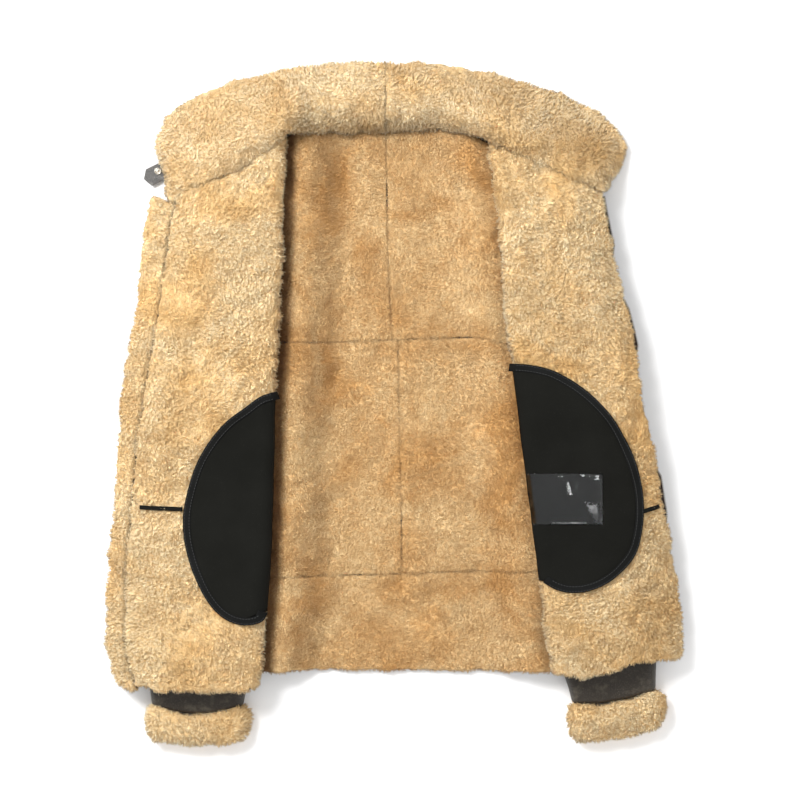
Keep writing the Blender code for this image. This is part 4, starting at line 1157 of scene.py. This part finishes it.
side = SIDES["left"]
above = WALL / 2 + BAG_CLEAR + BAG_THICK + 2 * GAP + VINYL_THICK / 2
grid = []
for v in closer_at_ends(64, 1.6, FINE_EDGE):
    y = lerp(*WINDOW["y"], v)
    fold = float(hermite(side["fold"], y))
    row = [shown_point(side, fold + wrap, y, above) for wrap in BAG_WRAP[1:]]
    for t in closer_at_ends(76, 1.9, FINE_EDGE):
        u = lerp(fold + FOLD_OUTER, WINDOW["u"], t)
        loose = float(ease(min(t, 0.995 - t * 0.99) * 12) * ease(min(v, 1 - v) * 8 + 0.35))
        row.append(shown_point(side, u, y, above + soft_wave(u, y, 34.0, 0.9)
                               + loose * crumpled(u, y)))
    grid.append(row)
trim("id_window", np.array(grid), VINYL_THICK, VINYL, "vinyl", rounding=0.8)

# %% Stay tapes and zip tapes
for name, side in SIDES.items():
    u0, y0, u1, y1 = STAY_TAPES[name]
    run = np.array([u1 - u0, y1 - y0])
    aside = np.array([-run[1], run[0]]) / np.linalg.norm(run) * (TAPE_WIDTH - 1.5) / 2
    runs = [[np.array([u0, y0]) + run * t + aside * k * 0.8 for k in np.linspace(-1, 1, 7)]
            for t in np.linspace(0, 1, 22)]
    above = WALL / 2 + BAG_CLEAR + TAPE_THICK / 2
    trim("stay_tape_" + name, on_front(side, runs, above, 0.8), TAPE_THICK, TWILL, "cloth",
         turned=side["sign"] > 0)


def zip_tape_grid(side, inner, outer, low, high, step=0.0, count=90):
    below = -(WALL / 2 + ZIP_CLEAR + ZIP_TAPE_THICK / 2) - step
    grid = []
    for y in np.linspace(low, high, count):
        edge = float(hermite(side["edge"], y))
        if side["sign"] > 0:
            edge += float(np.interp(y, *np.array(ZIP_SHOWS, float).T))
        grid.append([shown_point(side, edge + lerp(inner, outer, t), y, below)
                     for t in (0.0, 0.03, 0.3, 0.6, 0.85, 0.97, 1.0)])
    return np.array(grid)


ZIP_GRIDS = {
    "left": zip_tape_grid(SIDES["left"], -ZIP_TAPE_WIDTH, 0.0, -300.0, 250.0),
    "right": zip_tape_grid(SIDES["right"], 4.0, ZIP_TAPE_WIDTH, -330.0, 238.0, FLAP_STEP),
}
ZIP_TWILL = twill("brown_zip_tape", colour(44, 34, 32), colour(66, 52, 48), 700.0, 0.0)
for name, grid in ZIP_GRIDS.items():
    trim("zip_tape_" + name, grid, ZIP_TAPE_THICK, ZIP_TWILL, "cloth",
         turned=SIDES[name]["sign"] < 0)
print("trims:", {name: len(made.data.polygons) for name, made in TRIMS.items()})

# %% [markdown]
# ## Stitches and zip teeth
#
# Sewing repeats one small thing along a line, so one node tree serves the bindings, the tab and
# both rows of zip teeth: it walks along a line and sets a copy every few millimetres, turned along
# the line.

# %% A tree that sets copies along a line
ALONG, given = node_group("copies_along_a_line", {
    "Copy": bpy.types.Object, "Material": bpy.types.Material, "Pitch": float, "Wobble": float,
    "Seed": int})
curve = node(ALONG, "GeometryNodeMeshToCurve", {"Mesh": given["Geometry"]})
spaced = node(ALONG, "GeometryNodeResampleCurve", {"Curve": curve.outputs[0],
                                                   "Length": given["Pitch"]}, mode="LENGTH")
tangent = node(ALONG, "GeometryNodeInputTangent").outputs[0]
turned = node(ALONG, "FunctionNodeAlignRotationToVector", {"Vector": tangent}, axis="X")
upright = node(ALONG, "FunctionNodeAlignRotationToVector", {
    "Rotation": turned.outputs[0], "Vector": (0.0, 0.0, 1.0)}, axis="Z", pivot_axis="X")
little = node(ALONG, "FunctionNodeRandomValue", {2: -0.5, 3: 0.5, 8: given["Seed"]},
              data_type="FLOAT").outputs[1]
askew = node(ALONG, "FunctionNodeAxisAngleToRotation", {
    "Axis": (0, 0, 1), "Angle": maths(ALONG, "MULTIPLY", little, given["Wobble"])})
final = node(ALONG, "FunctionNodeRotateRotation", {
    "Rotation": upright.outputs[0], "Rotate By": askew.outputs[0]}, rotation_space="LOCAL")
copy = node(ALONG, "GeometryNodeObjectInfo", {"Object": given["Copy"]})
copies = node(ALONG, "GeometryNodeInstanceOnPoints", {
    "Points": spaced.outputs[0], "Instance": copy.outputs["Geometry"],
    "Rotation": final.outputs[0]})
real = node(ALONG, "GeometryNodeRealizeInstances", {"Geometry": copies.outputs[0]})
coloured = node(ALONG, "GeometryNodeSetMaterial", {"Geometry": real.outputs[0],
                                                   "Material": given["Material"]})
node(ALONG, "NodeGroupOutput", {"Geometry": coloured.outputs[0]})


def small_solid(name, size, taper=0.6, rise=0.0):
    """A bevelled little block: size in metres, narrower at the top by taper."""
    mesh = bpy.data.meshes.new(name)
    work = bmesh.new()
    bmesh.ops.create_cube(work, size=1.0)
    for vertex in work.verts:
        if vertex.co.z > 0:
            vertex.co.x *= taper
            vertex.co.y *= taper
        vertex.co = Vector((vertex.co.x * size[0], vertex.co.y * size[1],
                            vertex.co.z * size[2] + rise))
    bmesh.ops.bevel(work, geom=work.edges[:], offset=min(size) * 0.22, segments=1,
                    affect="EDGES")
    work.to_mesh(mesh)
    work.free()
    mesh.shade_smooth()
    return bpy.data.objects.new(name, mesh)


def line_of(points_mm):
    mesh = bpy.data.meshes.new("path")
    count = len(points_mm)
    mesh.from_pydata((np.asarray(points_mm) * MM).tolist(), [(i, i + 1) for i in range(count - 1)],
                     [])
    made = bpy.data.objects.new("path", mesh)
    bpy.context.scene.collection.objects.link(made)
    return made


def copies_along(name, points_mm, copy, pitch, made_of, wobble=0.1, seed=1):
    path = line_of(points_mm)
    made = grown(path, ALONG, name, Copy=copy, Material=made_of, Pitch=pitch, Wobble=wobble,
                 Seed=seed)
    bpy.data.objects.remove(path)
    made.data.shade_smooth()
    return made


STITCH = small_solid("stitch", (0.0026, 0.0007, 0.0006))
TOOTH = small_solid("tooth", (0.0013, 0.0034, 0.0019), 0.75)
SEWING = {}
for name, side in SIDES.items():
    arc = resample(BAGS[name]["arc"], 64) * NEARER
    for row, by in (("outer", 1.8), ("inner", BINDING_WIDTH - 1.8)):
        above = WALL / 2 + BAG_CLEAR + BINDING_THICK - 0.35
        line = [shown_point(side, u, y, above + soft_wave(u, y, 34.0, 0.5))
                for u, y in inset(arc, by)[4:-4]]
        SEWING["binding_" + row + "_stitches_" + name] = (
            copies_along("binding_" + row + "_stitches_" + name, line, STITCH, 0.0036, THREAD,
                         0.2), "binding")
    grid = ZIP_GRIDS[name]
    column = grid[:, -1]
    SEWING["zip_teeth_" + name] = (copies_along("zip_teeth_" + name, column + (0, 0, 0.3), TOOTH,
                                                0.0024, DARK_METAL, 0.0), "metal")
print("sewing:", {name: len(made.data.polygons) for name, (made, slot) in SEWING.items()})

# %% [markdown]
# ## The collar tab
#
# A pointed tab of worn grey leather reaches out under the collar's corner. It has a stitched
# border and a press stud: a light ring round a dark one, with a bright middle.

# %% Tab and press stud
points = np.array(TAB)
steps = np.interp(closer_at_ends(28, 1.2, FINE_EDGE), np.linspace(0, 1, len(TAB)),
                  np.arange(len(TAB)))
index = np.arange(len(TAB))
ax, ay, bx, by, z = (np.interp(steps, index, points[:, k])[:, None] for k in range(5))
t = closer_at_ends(18, 1.4, FINE_EDGE)[None, :]
grid = np.stack([lerp(ax, bx, t), lerp(ay, by, t), z + 0 * t], axis=2)
trim("collar_tab", grid, TAB_THICK, TAB_HIDE, "tab", rounding=0.9, turned=False)
border = [grid[i, j] + (0, 0, TAB_THICK / 2) for i, j in
          [(i, 6) for i in range(2, len(grid) - 5)]
          + [(len(grid) - 6, j) for j in range(6, grid.shape[1] - 6)]
          + [(i, grid.shape[1] - 7) for i in range(len(grid) - 6, 1, -1)]]
SEWING["tab_stitches"] = (copies_along("tab_stitches", border, STITCH, 0.0032, THREAD), "tab")


def turned_part(name, profile, centre, made_of, around=40):
    """A lathe shape: profile is radius, height; centre in millimetres."""
    angles = np.linspace(0, 2 * np.pi, around, endpoint=False)
    points, faces = [], []
    for radius, height in profile:
        points += [(centre[0] + radius * np.cos(a), centre[1] + radius * np.sin(a),
                    centre[2] + height) for a in angles]
    for i in range(len(profile) - 1):
        for j in range(around):
            k = (j + 1) % around
            faces.append((i * around + j, i * around + k, (i + 1) * around + k,
                          (i + 1) * around + j))
    faces.append(tuple(range(around))[::-1])
    faces.append(tuple((len(profile) - 1) * around + j for j in range(around)))
    mesh = bpy.data.meshes.new(name)
    mesh.from_pydata((np.array(points) * MM).tolist(), [], faces)
    mesh.materials.append(made_of)
    mesh.shade_smooth()
    made = bpy.data.objects.new(name, mesh)
    bpy.context.scene.collection.objects.link(made)
    return made


base = SNAP[2] + TAB_THICK / 2 + GAP
snap = turned_part("collar_snap_stud", (
    (SNAP_RADIUS - 0.3, 0.0), (SNAP_RADIUS, 0.3), (SNAP_RADIUS, 1.0), (SNAP_RADIUS - 0.35, 1.4),
    (SNAP_RADIUS - 0.8, 1.5), (SNAP_RADIUS - 1.2, 1.3), (SNAP_RADIUS - 1.45, 0.7),
    (SNAP_RADIUS - 2.0, 0.5), (1.35, 0.6), (1.2, 1.1), (0.8, 1.4), (0.3, 1.5)),
    (SNAP[0], SNAP[1], base), NICKEL)
TRIMS["collar_snap"], TRIM_NODES["collar_snap"] = snap, ("collar_snap", "metal")
print("tab and stud:", len(grid), "rows,", len(snap.data.polygons), "faces")

# %% The slider keeps its solid
slider = bpy.data.objects["zip_slider"]
slider.data.materials.clear()
slider.data.materials.append(DARK_METAL)

# %% The model rides on one body
for name, wall in WALLS.items():
    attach(wall, "root")
    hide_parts(name)
for name, fur in FUR.items():
    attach(fur, "root")
for name, made in TRIMS.items():
    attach(made, "root")
    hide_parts(TRIM_NODES[name][0])
for made, slot in SEWING.values():
    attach(made, "root")

# %% What each skin and cloth was cut to
UNDER = {
    "back_upper_right": ["table_top", "sleeve_right"], "back_upper_left": ["table_top", "sleeve_left"],
    "back_lower_right": ["table_top", "sleeve_right"], "back_lower_left": ["table_top", "sleeve_left"],
    "back_hem_band": ["table_top"], "front_right": ["back_lower_right"],
    "front_left": ["back_lower_left"], "wind_flap": ["front_right"],
    "collar_right": ["front_right"], "collar_left": ["front_left"],
    "sleeve_right": ["table_top"], "sleeve_left": ["table_top"],
    "cuff_right": ["table_top"], "cuff_left": ["table_top"],
    "pocket_bag_right": ["front_right"], "pocket_bag_left": ["front_left"],
    "zip_tape_right": ["front_right"], "zip_tape_left": ["front_left"],
}
BOUND = {
    "pocket_bag_right": ["pocket_binding_right_sewn", "stay_tape_right_sewn",
                         "binding_outer_stitches_right", "binding_inner_stitches_right"],
    "pocket_bag_left": ["pocket_binding_left_sewn", "stay_tape_left_sewn", "id_window_sewn",
                        "binding_outer_stitches_left", "binding_inner_stitches_left"],
    "zip_tape_right": ["zip_teeth_right"], "zip_tape_left": ["zip_teeth_left", "zip_slider"],
}
for name, under in UNDER.items():
    wide, long, area = SIZES[name]
    extra = [FUR[name]] if name in FUR else []
    extra += [bpy.data.objects[other] for other in BOUND.get(name, [])]
    print("%-20s %4.0f x %4.0f mm, %6.0f cm2" % (name, wide * 1000, long * 1000, area * 1e4))
